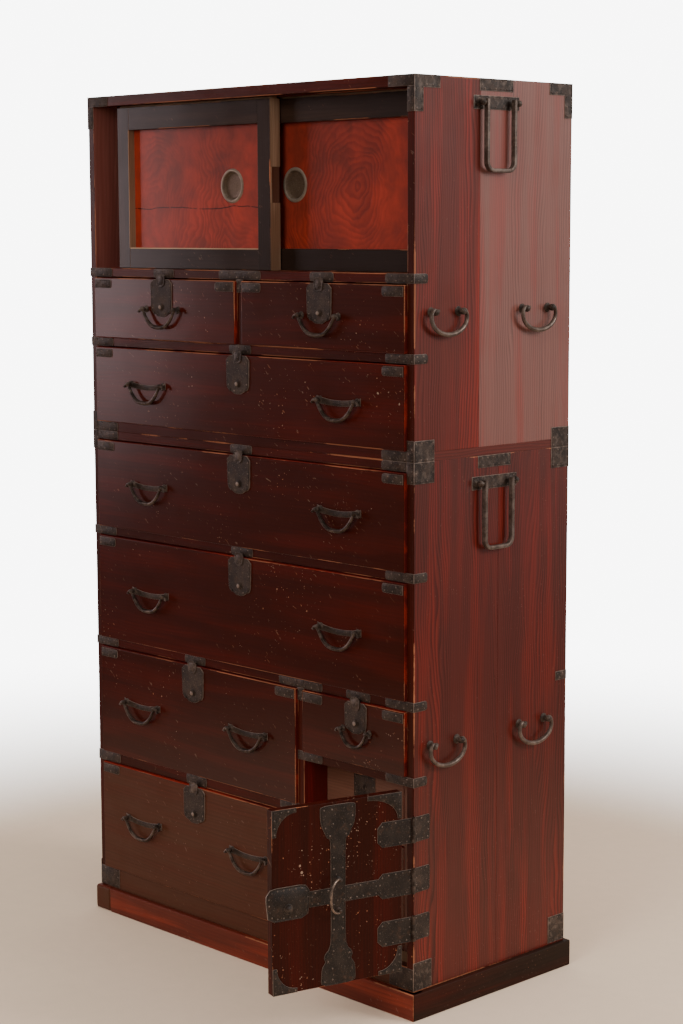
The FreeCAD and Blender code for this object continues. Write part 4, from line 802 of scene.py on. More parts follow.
def iron(name, dark, worn, bright, rough, metal, relief):
    """Blackened iron: pits and cloudy rust, with hand-worn places rubbed lighter, edges, nails and domes lighter as
    wear and painted highlight, and bright specks that are partly painted glints.
    """
    material, n, shader = new_material(name, Metallic=metal, Specular_IOR_Level=0.3)
    place_now = n.here()
    cloud = n.noise(place_now, 38.0, 4.0, 0.6)
    pits = n.noise(place_now, 420.0, 3.0, 0.7)
    hammered = n.add("ShaderNodeTexVoronoi", {"Vector": place_now, "Scale": 120.0}, feature="SMOOTH_F1")
    mixed = n.mix(n.span(cloud, 0.35, 0.75), dark, worn)
    rust = n.mix(n.span(n.noise(place_now, 70.0, 3.0, 0.7), 0.52, 0.75, 0.0, 0.6), mixed, colour("iron_rust"))
    dark_pits = n.mix(n.span(pits, 0.54, 0.68, 0.0, 0.6), rust, darker(dark, 0.3))
    patchy = n.span(n.noise(place_now, 90.0, 2.0), 0.3, 0.7, -0.2, 0.2)
    # Brightness per point: hand wear, and painted highlight on edges, nail heads and domes
    broken = n.math("ADD", n.attribute("rub", "Fac"), patchy, clamp=True)
    # Bright specks: partly grit, partly painted glints
    grit_and_glints = n.mix(n.span(n.noise(place_now, 520.0, 2.0, 0.6), 0.63, 0.72, 0.0, 0.55), dark_pits, bright)
    rubbed = n.mix(n.math("MULTIPLY", n.span(broken, 0.25, 1.0), 0.8), grit_and_glints, bright)
    base = n.span(cloud, 0.3, 0.7, rough, rough + 0.14)
    dull = n.math("ADD", base, n.span(pits, 0.5, 0.7, 0.0, 0.12))
    roughness = n.math("SUBTRACT", dull, n.math("MULTIPLY", broken, 0.18))
    height = n.math("SUBTRACT", n.math("MULTIPLY", hammered, 0.6), n.span(pits, 0.5, 0.72, 0.0, 0.5))
    finish_material(n, shader, rubbed, roughness, height, relief)
    return material


# ---- wood ----

def board(x0, x1, y0, y1, z0, z1, grain, finish, faces=None, arris=0.8 * MM, hole=None, joints=()):
    """A board between two corners.

    Grain is the axis of its fibres, hole the (x, z, radius) of a round hole,
    joints the sides that touch another board and so are not worn.
    """
    return Board((x0, y0, z0), (x1, y1, z1), grain, finish, faces or {}, arris, hole, joints)


def drawer_boards(node, front_y, sizes, finish, arris):
    """Front, sides, back and bottom of a drawer."""
    x0, x1, z0, z1 = opening(node)
    front_t, side_t, back_t, bottom_t = sizes
    left, right, low, high = x0 + END_GAP, x1 - END_GAP, z0 + SEAT_GAP, z1 - HEAD_GAP
    inside, end = front_y + front_t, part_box(node)[1].y
    top = high - SIDE_DROP
    edge = {0: "edge", 1: "edge", 4: "edge", 5: "edge", 3: "bare"}
    return [
        board(left, right, front_y, inside, low, high, 0, finish, edge, arris),
        board(left, left + side_t, inside, end, low, top, 1, "bare"),
        board(right - side_t, right, inside, end, low, top, 1, "bare"),
        board(left + side_t, right - side_t, end - back_t, end, low, top, 0, "bare"),
        board(left + side_t, right - side_t, inside, end - back_t, low, low + bottom_t, 0, "bare"),
    ]


def side_planks(z0, z1, joint_share, finishes, inner_finish="inner_red", sill=0.0):
    """Both case sides, each of two planks over a sill with level grain, with darker front edges."""
    ends = (4,) if sill else ()
    joint = FRONT + joint_share * (BACK - FRONT)
    boards = []
    for x0, x1 in ((-HALF, -INNER), (INNER, HALF)):
        inner_face = 1 if x0 < 0 else 0
        faces, back_faces = {2: "rail", inner_face: inner_finish}, {inner_face: "bare"}
        low = z0 + sill
        boards.append(board(x0, x1, FRONT, joint, low, z1, 2, finishes[0], faces, 0.9 * MM, None, (3, *ends)))
        boards.append(board(x0, x1, joint, BACK, low, z1, 2, finishes[1], back_faces, 0.4 * MM, None, (2, *ends)))
        if sill:
            boards.append(board(x0, x1, FRONT, BACK, z0, z0 + sill, 1, "sill", faces, 0.4 * MM, None, (4, 5)))
    return boards


def back_boards(z0, z1):
    """Four upright planks that close the back."""
    edges = np.linspace(-INNER, INNER, 5)
    return [board(x0, x1, BACK_IN, BACK, z0, z1, 2, "bare", joints=(0, 1)) for x0, x1 in zip(edges[:-1], edges[1:])]


def rail_and_dust(x0, x1, z0, z1):
    """A front rail with its dust board behind."""
    behind = FRONT + RAIL_D
    faces = {4: "inner_red", 5: "inner_red", 3: "bare"}
    return [board(x0, x1, FRONT, behind, z0, z1, 0, "rail", faces, joints=(0, 1, 3)),
            board(x0, x1, behind, BACK_IN, z1 - DUST_T, z1, 0, "bare")]


def lower_boards():
    """Boards of the lower case."""
    low, base = CASE_LOW[2], BASE_TOP - BASE_T
    behind, wall = FRONT + BASE_RAIL_D, SAFE_END + SAFE_WALL_T
    return [
        *side_planks(low, SEAM, 0.53, ("low_side", "low_side")),
        board(-INNER, INNER, FRONT, BACK, WIDE_TOP[3], SEAM, 0, "rail", {4: "bare", 3: "bare"}),
        *back_boards(low, WIDE_TOP[3]),
        board(-INNER, INNER, FRONT, behind, low, BASE_TOP, 0, "low_drawer", joints=(0, 1)),
        board(-INNER, INNER, behind, BACK_IN, base, BASE_TOP, 0, "bare"),
        board(-INNER, INNER, BACK_IN - BASE_RAIL_D, BACK_IN, low, base, 0, "bare"),
        board(DIVIDER_X, DIVIDER_END, FRONT, BACK_IN, BASE_TOP, LEFT_HIGH[3], 2, "rail", LINING),
        *rail_and_dust(-INNER, INNER, WIDE_MID[3], WIDE_TOP[2]),
        *rail_and_dust(-INNER, INNER, LEFT_HIGH[3], WIDE_MID[2]),
        *rail_and_dust(-INNER, DIVIDER_X, LEFT_LOW[3], LEFT_HIGH[2]),
        board(DIVIDER_END, INNER, FRONT, BACK_IN, SAFE_HEAD, RIGHT_SMALL[2], 0, "rail", {4: "inner_red"}),
        board(DIVIDER_END, SAFE_END, SAFE_FRONT, BACK_IN, SAFE_LOW[3], SAFE_HIGH[2], 0, "brown"),
        board(SAFE_END, wall, SAFE_FRONT, BACK_IN, BASE_TOP, SAFE_HEAD, 2, "brown"),
        board(wall, INNER, SAFE_FRONT, SAFE_FRONT + SAFE_WALL_T, BASE_TOP, SAFE_HEAD, 2, "brown"),
    ]


def upper_boards():
    """Boards of the upper case; the door tracks are grooves between strips."""
    half_track = 6.4 * MM
    middles = [(low.y + high.y) / 2 for low, high in (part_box("sliding_door_left"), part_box("sliding_door_right"))]
    low_face, high_face = SLIDE - 3.5 * MM, TOP_BOARD + 8.5 * MM
    strips = [FRONT, *(middle + way * half_track for middle in middles for way in (-1, 1)), BACK_IN]
    lip = strips[1]
    boards = [
        *side_planks(SEAM, TOP, 0.4, ("side", "side_back"), "inner_worn", SILL_H),
        board(-INNER, INNER, FRONT, BACK, SEAM, UPPER_WIDE[2], 0, "rail", {5: "bare", 3: "bare"}),
        *back_boards(UPPER_WIDE[2], TOP_BOARD),
        *rail_and_dust(-INNER, INNER, UPPER_WIDE[3], SMALL_LEFT[2]),
        board(SMALL_LEFT[1], SMALL_RIGHT[0], FRONT, BACK_IN, SMALL_LEFT[2], SHELF, 2, "rail", LINING),
        board(-INNER, INNER, FRONT, lip, SHELF, SLIDE, 0, "rail"),
        board(-INNER, INNER, FRONT, lip, TOP_BOARD, TOP, 0, "rail", {5: "side"}),
        board(-INNER, INNER, lip, BACK_IN, SHELF, low_face, 0, "rail"),
        board(-INNER, INNER, lip, BACK, high_face, TOP, 0, "side", {4: "bare"}),
        board(-INNER, INNER, BACK_IN, BACK, TOP_BOARD, high_face, 0, "side"),
    ]
    for y0, y1 in zip(strips[2::2], strips[3::2]):
        for z0, z1 in ((low_face, SLIDE), (TOP_BOARD, high_face)):
            boards.append(board(-INNER, INNER, y0, y1, z0, z1, 0, "inner_red", {2: "rail"}, 0.5 * MM))
    return boards


def sliding_boards(node, cup_x, cup_z):
    """Frame, tongues and pierced panel of a sliding door; the left one has a finger recess in its end, painted darker
    inside as painted shade.
    """
    low, high = (np.array(corner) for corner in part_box(node))
    foot, head = SLIDE + 0.6 * MM, TOP_BOARD - 3.6 * MM
    stile, foot_rail, head_rail = 35 * MM, 40 * MM, 44 * MM
    x0, x1, y0, y1 = low[0], high[0], low[1], high[1]
    inner_x, inner_z = (x0 + stile, x1 - stile), (foot + foot_rail, head - head_rail)
    middle = (y0 + y1) / 2
    arris, recess, thin = 0.7 * MM, 33 * MM, 0.3 * MM
    left = node.endswith("left")
    depth = 1.6 * MM if left else 0.0
    # Left door: the stile's inner face and the foot rail's top face take the tan bead, partly wear, partly painted
    # light on faces in shade
    near, far, foot_faces = ({1: "bead"}, {1: "brown"}, {5: "bead"}) if left else ({}, {}, {})
    boards = [
        board(x0, inner_x[0], y0, y1, foot, head, 2, "frame", near, arris),
        board(inner_x[1], x1 - depth, y0, y1, foot, head, 2, "frame", far, arris),
        board(*inner_x, y0, y1, foot, inner_z[0], 0, "frame", foot_faces, arris, None, (0, 1)),
        board(*inner_x, y0, y1, inner_z[1], head, 0, "frame", {}, arris, None, (0, 1)),
    ]
    if left:
        # The recess's brown floor (set above) is partly, and its dark top and bottom faces fully, painted shade
        faces = {1: "bead", 4: "rail", 5: "rail"}
        low_end, high_end = cup_z - recess, cup_z + recess
        for back, z0, z1 in ((y1, foot, low_end), (y1, high_end, head), (y0 + 5 * MM, low_end, high_end)):
            boards.append(board(x1 - depth, x1, y0, back, z0, z1, 2, "frame", faces, thin, None, (4, 5)))
        bead = (y0 - 0.2 * MM, y0 + 1.4 * MM)
        for across, upward, grain in (((inner_x[0] - 1.9 * MM, inner_x[0] + thin), inner_z, 2),
                                      (inner_x, (inner_z[0] - 1.9 * MM, inner_z[0] + thin), 0)):
            boards.append(board(*across, *bead, *upward, grain, "bead", {}, 0.5 * MM))
    track, tuck = 6 * MM, 1 * MM
    for z0, z1 in ((low[2], foot), (head, high[2])):
        boards.append(board(x0, x1, middle - track, middle + track, z0, z1, 0, "bare"))
    panel_x, panel_z = (inner_x[0] - tuck, inner_x[1] + tuck), (inner_z[0] - tuck, inner_z[1] + tuck)
    boards.append(board(*panel_x, y0 + 14.5 * MM, y0 + 21.5 * MM, *panel_z, 0, "cracked_burl" if left else "burl",
                        {3: "bare"}, thin, (cup_x, cup_z, 28.8 * MM)))
    return boards


# ---- ironwork ----

def strap_outline(x0, x1, z0, z1, left=True, right=True):
    """A strap's outline with rounded corners at the chosen ends."""
    radius = (z1 - z0) * 0.3
    turn = np.radians(np.arange(0, 91, 30))
    corners = []
    for x, z, start, cut in ((x1, z0, -90, right), (x1, z1, 0, right), (x0, z1, 90, left), (x0, z0, 180, left)):
        if cut:
            centre = np.array([x - radius * np.sign(x - (x0 + x1) / 2), z - radius * np.sign(z - (z0 + z1) / 2)])
            angle = turn + math.radians(start)
            corners.append(centre + radius * np.column_stack([np.cos(angle), np.sin(angle)]))
        else:
            corners.append(np.array([[x, z]]))
    return np.concatenate(corners)


def smooth_outline(points, rounds=1):
    """A closed outline with its corners cut, whole arrays at a time."""
    line = np.array(points, float)
    for _ in range(rounds):
        after = np.roll(line, -1, axis=0)
        line = np.stack([0.85 * line + 0.15 * after, 0.15 * line + 0.85 * after], axis=1).reshape(-1, 2)
    return line


def nail_row(outline, inset, pitch, height):
    """Places along an outline moved inwards by an inset, at about a pitch."""
    middle = (outline.min(axis=0) + outline.max(axis=0)) / 2
    reach = (outline.max(axis=0) - outline.min(axis=0)) / 2
    share = np.maximum(reach - inset, reach * 0.25) / reach
    closed = middle + (np.concatenate([outline, outline[:1]]) - middle) * share
    length = np.linalg.norm(np.diff(closed, axis=0), axis=1).sum()
    line = even_line(closed, max(4, round(length / pitch)) + 1)[:-1]
    return np.column_stack([line, np.full(len(line), height)])


def put_plate(work, outline, matrix, thickness=PLATE_T, rim=0.0, pitch=19 * MM, inset=4.4 * MM, rub=0.0):
    """A plate with its nails and a given brightness for its field; its side walls and bevel are painted bright as
    painted highlight.
    """
    sizes = bpy.context.scene.chest_sizes
    surface = plate_surface(outline, thickness, sizes.plate_bevel, rim)
    steps = len(surface[0]) // len(outline)
    # Side-wall and bevel rings painted bright: painted highlight where the plate's edge would catch light
    worn = np.array([0.6, 1.0, 1.0, 0.2 + rub, 0.1 + rub, rub, rub, rub])[:steps]
    work.add(surface, matrix, np.repeat(worn, len(outline)))
    if pitch:
        places = nail_row(outline, inset, pitch, thickness - 0.05 * MM)
        work.nails(places, matrix, sizes.nail_radius, sizes.nail_height)


def bail_line(half, drop, bar):
    """The smooth centre line of a drawer bail: a full bow between the eyes, then shoulders and curled ends."""
    reach = EYE / 2 + bar * 1.7
    x = np.linspace(-0.9, 0.9, 25) * half
    bow = np.column_stack([x, -drop * (1 - np.abs(x / half) ** 2.8)])
    end = np.array([(half + reach * 0.2, 0.4 * bar), (half + reach * 0.9, 0.1 * bar), (half + reach + bar, -bar * 1.3),
                    (half + reach + bar * 1.2, -bar * 2.8)])
    return even_line(smooth_line(np.concatenate([(end * [-1, 1])[::-1], bow, end]), 3), 84)


def side_bail_line(half, drop, bar):
    """The smooth centre line of a side bail: most of an ellipse, its ends turned inwards through the eyes."""
    wide = half + EYE / 2 + bar * 1.8
    angle = np.radians(np.linspace(-198, 18, 31))
    bow = np.column_stack([wide * np.cos(angle), -0.25 * drop + 0.75 * drop * np.sin(angle)])
    end = np.array([(half + bar, 1.1 * bar), (half - bar, 0.4 * bar), (half - EYE / 2 - bar, 0.0)])
    return even_line(smooth_line(np.concatenate([(end * [-1, 1])[::-1], bow, end]), 3), 84)


def bow_line(half, drop, bar):
    """The smooth centre line of a plain bow between two eyes."""
    right = [(half * 0.5, -drop * 1.02), (half * 0.98, -drop * 0.62), (half * 1.12, -drop * 0.08), (half * 1.02, bar),
             (half * 0.86, 0.0)]
    left = [(-x, z) for x, z in reversed(right)]
    return even_line(smooth_line(left + right), 72)


def bar_sizes(count, bar, middle):
    """Bar radius along a bail: fuller in the middle, drawn down, with a knob at each end."""
    share = np.abs(np.linspace(-1, 1, count))
    body = bar * (middle - (middle - 0.8) * share ** 1.6)
    end = np.clip((1 - share) / 0.055, 0, 1)
    bulb = np.sqrt(np.clip(1 - (end * 2 - 1) ** 2, 0, 1)) * KNOB * bar
    return np.where(end < 0.75, np.maximum(bulb, body * np.sqrt(np.clip(end, 0, 1))), body)


def post_surface(out, radius):
    """A turned boss for a bail's eye: foot, waist and ball at the bar's distance."""
    profile = [(0, 0), (radius * 1.45, 0), (radius * 1.45, 0.8 * MM), (radius * 1.1, 1.8 * MM),
               (radius * 0.78, out * 0.42), (radius * 0.86, out * 0.62), (radius * 1.02, out * 0.85),
               (radius * 1.06, out), (radius * 0.95, out + radius * 0.55), (radius * 0.55, out + radius * 0.95),
               (0, out + radius * 1.1)]
    return turned_surface(profile, 16)


def make_bail(node, body, kind, matrix, bend=bail_line, middle=1.45, rub=0.4, finish="bar"):
    """One hanging bail in place of its node."""
    half, drop, bar = kind
    line = bend(half, drop, bar)
    work = Metalwork()
    work.add(swept_surface(line, round_profile(12), bar_sizes(len(line), bar, middle)), matrix, rub)
    return work.piece(node + "_forged", body, [node], iron_finish(finish))


# Turned shapes as (radius, height) in millimetres, and how bright their rings are painted: wear by hands, and painted
# glint and highlight on the button's dome and the cup's rim
BUTTON = [(0, 0), (8, 0), (8, 0.5), (7.2, 1.0), (6.0, 0.9), (5.2, 1.0), (4.9, 2.4), (4.2, 3.4), (3.0, 4.1), (1.6, 4.5),
          (0, 4.6)]
# The dome's top rings painted bright: a painted glint
BUTTON_RUB_AND_GLINT = [0, 0, 0, 0.1, 0, 0, 0.1, 0.5, 1, 1, 1]
STUD = [(0, 0), (2.6, 0), (2.3, 0.8), (1.2, 1.3), (0, 1.4)]
KEY_RING = [(0, 0), (5.2, 0), (5.2, 0.5), (4.4, 0.9), (0, 0.9)]
DOOR_KNOB = [(0, 0), (9.5, 0), (9.5, 0.6), (8.4, 1.3), (6.8, 1.2), (6.2, 2.8), (4.6, 4.0), (0, 4.6)]
POLE_PIN = [(0, -4), (3.2, -4), (3.2, 4.2), (4.9, 4.6), (5.9, 6.4), (6.0, 8.4), (4.9, 10.8), (2.8, 12.2), (0, 12.6)]
CUP = [(0, -4.4), (12, -4.6), (21.5, -4.5), (23.6, -3.9), (25.0, -2.4), (25.8, -0.6), (26.4, 0.8), (27.4, 1.7),
       (28.8, 2.0), (30.4, 1.7), (31.6, 1.0), (32.4, 0.1), (32.5, 0), (28.5, 0), (28.5, -6), (0, -6)]
# The rim's rings painted bright: polish, and painted highlight
CUP_RUB_AND_HIGHLIGHT = np.interp(np.arange(len(CUP)), [0, 2, 4, 7, 9, 12], [0.1, 0.1, 0.35, 0.9, 1.0, 0.6])


def lock_fitting(work, matrix, width, height):
    """Lock plate, tongue and push button of a drawer, hanging from its top edge."""
    outline = smooth_outline(LOCK_SHARES * [width, height], 1)
    put_plate(work, outline, matrix, LOCK_T, RIM, 21 * MM, 5 * MM)
    arc = np.radians(np.linspace(0, 180, 11))
    head = np.column_stack([13 * MM * np.cos(arc), 11 * MM * (0.3 + 0.7 * np.sin(arc))])
    foot = np.array([(-11.5, -10), (-6, -15), (6, -15), (11.5, -10)]) * MM
    work.add(plate_surface(np.concatenate([head, foot]), 1.3 * MM, 0.5 * MM, 2.4 * MM), shifted(matrix, 0, 0, LOCK_T))
    button = shifted(matrix, 0, 19 * MM - height, LOCK_T)
    work.turn(BUTTON, button, 20, np.repeat(BUTTON_RUB_AND_GLINT, 20))
    for offset in (-0.33, 0.33):
        work.turn(STUD, shifted(matrix, offset * width, 8 * MM - height, LOCK_T), 10)


def crest_outline(half):
    """The sagging plate between a bail's posts, with fuller ends."""
    x = np.linspace(-1, 1, 25)
    reach = half + 9 * MM
    sag = 5 * MM * np.cos(x * math.pi / 2)
    swell = 5.2 * MM + 1.8 * MM * np.abs(x) ** 3
    top = np.column_stack([x * reach, swell - sag])
    foot = np.column_stack([x * reach, -swell - sag])[::-1]
    return np.concatenate([top, foot])


def drawer_fittings(work, node, lock, middle, kind, crest, front_y):
    """Lock, corner plates, crest plates and posts on a drawer front."""
    x0, x1, _, z1 = opening(node)
    high = z1 - HEAD_GAP
    lock_fitting(work, place(middle, front_y, high), *lock)
    top = high - 3 * MM
    low = top - 17 * MM
    near, far = x0 + END_GAP + 3 * MM, x1 - END_GAP - 3 * MM
    face = place(0, front_y, 0)
    put_plate(work, strap_outline(near, near + 52 * MM, low, top, False, True), face)
    put_plate(work, strap_outline(far - 52 * MM, far, low, top, True, False), face)
    half, _, bar = kind
    out = (9 * MM if half > 45 * MM else 8 * MM) + PLATE_T
    for number in (1, 2):
        name = "%s_bail_%d" % (node, number)
        if name in frame["nodes"]:
            pos = JOINTS[name + "_swing"]["pos_m"]
            seat = place(pos[0], front_y, pos[2])
            if crest:
                put_plate(work, crest_outline(half), seat, PLATE_T, 0, 0)
                ends = [(s * (half + 5.5 * MM), 5 * MM * k, PLATE_T) for s in (-1, 1) for k in (-0.8, 0.8)]
                work.nails(ends, seat, 1.5 * MM, 0.8 * MM)
            for x in (-half, half):
                work.add(post_surface(out, bar * 1.75), shifted(seat, x, 0, 0))


def hinge_leaf(work, matrix, reach, mirrored, knuckles):
    """A hinge leaf with clipped end and its knuckles about the upright line."""
    high, clip, root = 23 * MM, (3 if mirrored else 10) * MM, 3.4 * MM
    outline = np.array([(-root, high), (clip - reach, high), (-reach, high - clip), (-reach, clip - high),
                        (clip - reach, -high), (-root, -high)])
    if mirrored:
        outline = outline * [-1, 1]
    back = shifted(matrix, 0, 0, -2.6 * MM)
    put_plate(work, outline, back, PLATE_T, 1.4 * MM, 14 * MM, 4.4 * MM)
    side = 1 if mirrored else -1
    near, far = side * 1.4 * MM, side * 3.6 * MM
    pitch = 2 * high / 3
    length = pitch - 0.4 * MM
    top = length / MM
    for index in knuckles:
        low = -high + pitch * index + 0.2 * MM
        profile = [(1.62, 0), (2.9, 0), (3.2, 0.3), (3.2, top - 0.3), (2.9, top), (1.62, top)]
        work.turn(profile, shifted(matrix, 0, low, 0) @ turned_axes([1, 0, 0], [0, 0, 1], [0, -1, 0]), 20)
        tab = np.array([(near, low), (far, low), (far, low + length), (near, low + length)])
        work.add(plate_surface(tab, PLATE_T, 0.2 * MM), back)


def on_side(side, y=0.0, z=0.0):
    """A place on a case side; side is 1 for the right and -1 for the left, here and below."""
    return place(side * HALF, y, z, side * 90)


def side_plate(work, side, y0, y1, z0, z1):
    """A plate on a case side."""
    ends = (y0, y1) if side > 0 else (-y1, -y0)
    outline = strap_outline(*ends, z0, z1, False, False)
    put_plate(work, outline, on_side(side), PLATE_T, RIM, 14 * MM, rub=0.3)


def front_plate(work, x0, x1, z0, z1, left=False, right=False):
    """A plate on the front of the case."""
    x0, x1 = sorted((x0, x1))
    put_plate(work, strap_outline(x0, x1, z0, z1, left, right), place(0, FRONT, 0))


def rail_strap(work, z0, z1, side):
    """A strap over the end of a rail: front part and side part."""
    front, wrap = 70 * MM, 33 * MM
    front_plate(work, side * (HALF - front), side * HALF, z0, z1, side > 0, side < 0)
    y0, y1 = FRONT - PLATE_T, FRONT + wrap
    ends = (y0, y1) if side > 0 else (-y1, -y0)
    put_plate(work, strap_outline(*ends, z0, z1, side < 0, side > 0), on_side(side))


def angle_plate(work, side, y_end, inward):
    """An L-shaped plate at a top corner of a side, its arms along the top and down the edge."""
    shape = np.array([(0, 0), (64, 0), (64, -22), (22, -22), (22, -63), (0, -63)]) * MM
    outline = (shape * [inward, 1] + [y_end, TOP]) * [side, 1]
    put_plate(work, outline, on_side(side), PLATE_T, RIM, 0, rub=0.3)
    spots = [(8, -5), (26, -5), (43, -5), (59, -5), (30, -17), (45, -17), (59, -17), (5, -25), (17, -25), (5, -42),
             (17, -42), (5, -58), (17, -58)]
    places = [(side * (y_end + inward * u * MM), TOP + v * MM, PLATE_T) for u, v in spots]
    sizes = bpy.context.scene.chest_sizes
    work.nails(places, on_side(side), sizes.nail_radius, sizes.nail_height)


def hanger_places(case):
    """Level of a case's pole handles, and the depths and level of its side bails."""
    pole = JOINTS[case + "_pole_handle_right_swing"]["pos_m"]
    bails = [JOINTS["%s_side_bail_right_%s_swing" % (case, end)]["pos_m"] for end in ("front", "back")]
    return pole[2], [pos[1] for pos in bails], bails[0][2]


def hangers(work, pole_z, bail_ys, bail_z):
    """Plates and bosses on both sides for the pole handle and two side bails."""
    for side in (1, -1):
        face = on_side(side, 0, pole_z)
        outline = strap_outline(-60 * MM, 60 * MM, -12 * MM, 12 * MM, False, False)
        put_plate(work, outline, face, PLATE_T, RIM, 20 * MM, rub=0.3)
        for x in (-47 * MM, 47 * MM):
            work.add(post_surface(10 * MM + PLATE_T, 5.8 * MM), shifted(face, x, 0, 0))
        for y in bail_ys:
            for x in (-SIDE_BAIL[0], SIDE_BAIL[0]):
                work.add(post_surface(12 * MM, 6.0 * MM), shifted(on_side(side, y, bail_z), x, 0, 0))


def pole_handle(node, body):
    """A flat bar bent to a U with round pins and balls at its ends."""
    pos = JOINTS[node + "_swing"]["pos_m"]
    side = 1 if pos[0] > 0 else -1
    matrix = place(pos[0], 0, pos[2], side * 90)
    half, drop = 36 * MM, (124 - 5.5) * MM
    right = [(half, 5.5 * MM), (half, -drop * 0.5), (half, -drop + 24 * MM), (half, -drop + 9 * MM),
             (half - 9 * MM, -drop), (half - 24 * MM, -drop)]
    left = [(-x, z) for x, z in reversed(right)]
    line = even_line(smooth_line(right + left, 4), 80)
    around = round_profile(24)
    square = np.sign(around) * np.abs(around) ** 0.35
    work = Metalwork()
    work.add(swept_surface(line, square, np.tile([3.7 * MM, 4.7 * MM], (len(line), 1))), matrix, 0.4)
    for sign in (1, -1):
        along = turned_axes([0, 0, sign], [0, 1, 0], [-sign, 0, 0])
        work.turn(POLE_PIN, shifted(matrix, sign * 40 * MM, 0, 0) @ along, 16, 0.5)
    return work.piece(node + "_forged", body, [node], iron_finish("handle"))


DRAWER_BAIL = (48 * MM, 35 * MM, 2.7 * MM)
SMALL_BAIL = (34 * MM, 29 * MM, 2.4 * MM)
SAFE_BAIL = (28 * MM, 27 * MM, 2.2 * MM)
INNER_PULL = (18 * MM, 17 * MM, 1.8 * MM)
SIDE_BAIL = (35 * MM, 40 * MM, 3.8 * MM)
DRAWER_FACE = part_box("drawer_wide_top")[0].y
LOCK = (65 * MM, 73 * MM)
RIGHT_LOCK = (57 * MM, 58 * MM)
DRAWERS = ("drawer_small_left", "drawer_small_right", "drawer_upper_wide", "drawer_wide_top", "drawer_wide_middle",
           "drawer_left_high", "drawer_left_low", "drawer_right_small")


# Nails of the safe door's bells and corner plates, in millimetres from their ends
TOP_BELL_NAILS = ((28, 8), (12, 8), (29, 24), (25, 40), (10, 34), (16, 55), (9, 75), (9, 95), (9, 115), (9, 180),
                  (9, 205), (9, 225))
FOOT_BELL_NAILS = ((28, 8), (12, 10), (27, 26), (12, 30), (21, 44), (22, 54), (10, 62))
CORNER_NAILS = ((5, -5), (18, -5), (32, -5), (44, -4), (5, -18), (5, -32), (5, -43), (15, -15))


# ---- user values ----

def size_property(label, words, value):
    """A length of the panel."""
    return FloatProperty(name=label, description=words, default=value, min=0.0, unit="LENGTH", subtype="DISTANCE",
                         precision=4)


def colour_property(label, words, value):
    """A colour of the panel."""
    return FloatVectorProperty(name=label, description=words, default=value, size=3, min=0.0, max=1.0, subtype="COLOR")


class ChestSizes(bpy.types.PropertyGroup):
    """Small sizes of the finish."""

    drawer_arris: size_property("Drawer arris", "Rounding of the drawer fronts' edges", 1.6 * MM)
    plinth_arris: size_property("Plinth arris", "Rounding of the plinth's edges", 2.6 * MM)
    nail_radius: size_property("Nail radius", "Radius of the nail heads", 1.7 * MM)
    nail_height: size_property("Nail height", "Height of the nail heads", 0.9 * MM)
    plate_bevel: size_property("Plate bevel", "Bevel of the iron plates' edges", 0.45 * MM)


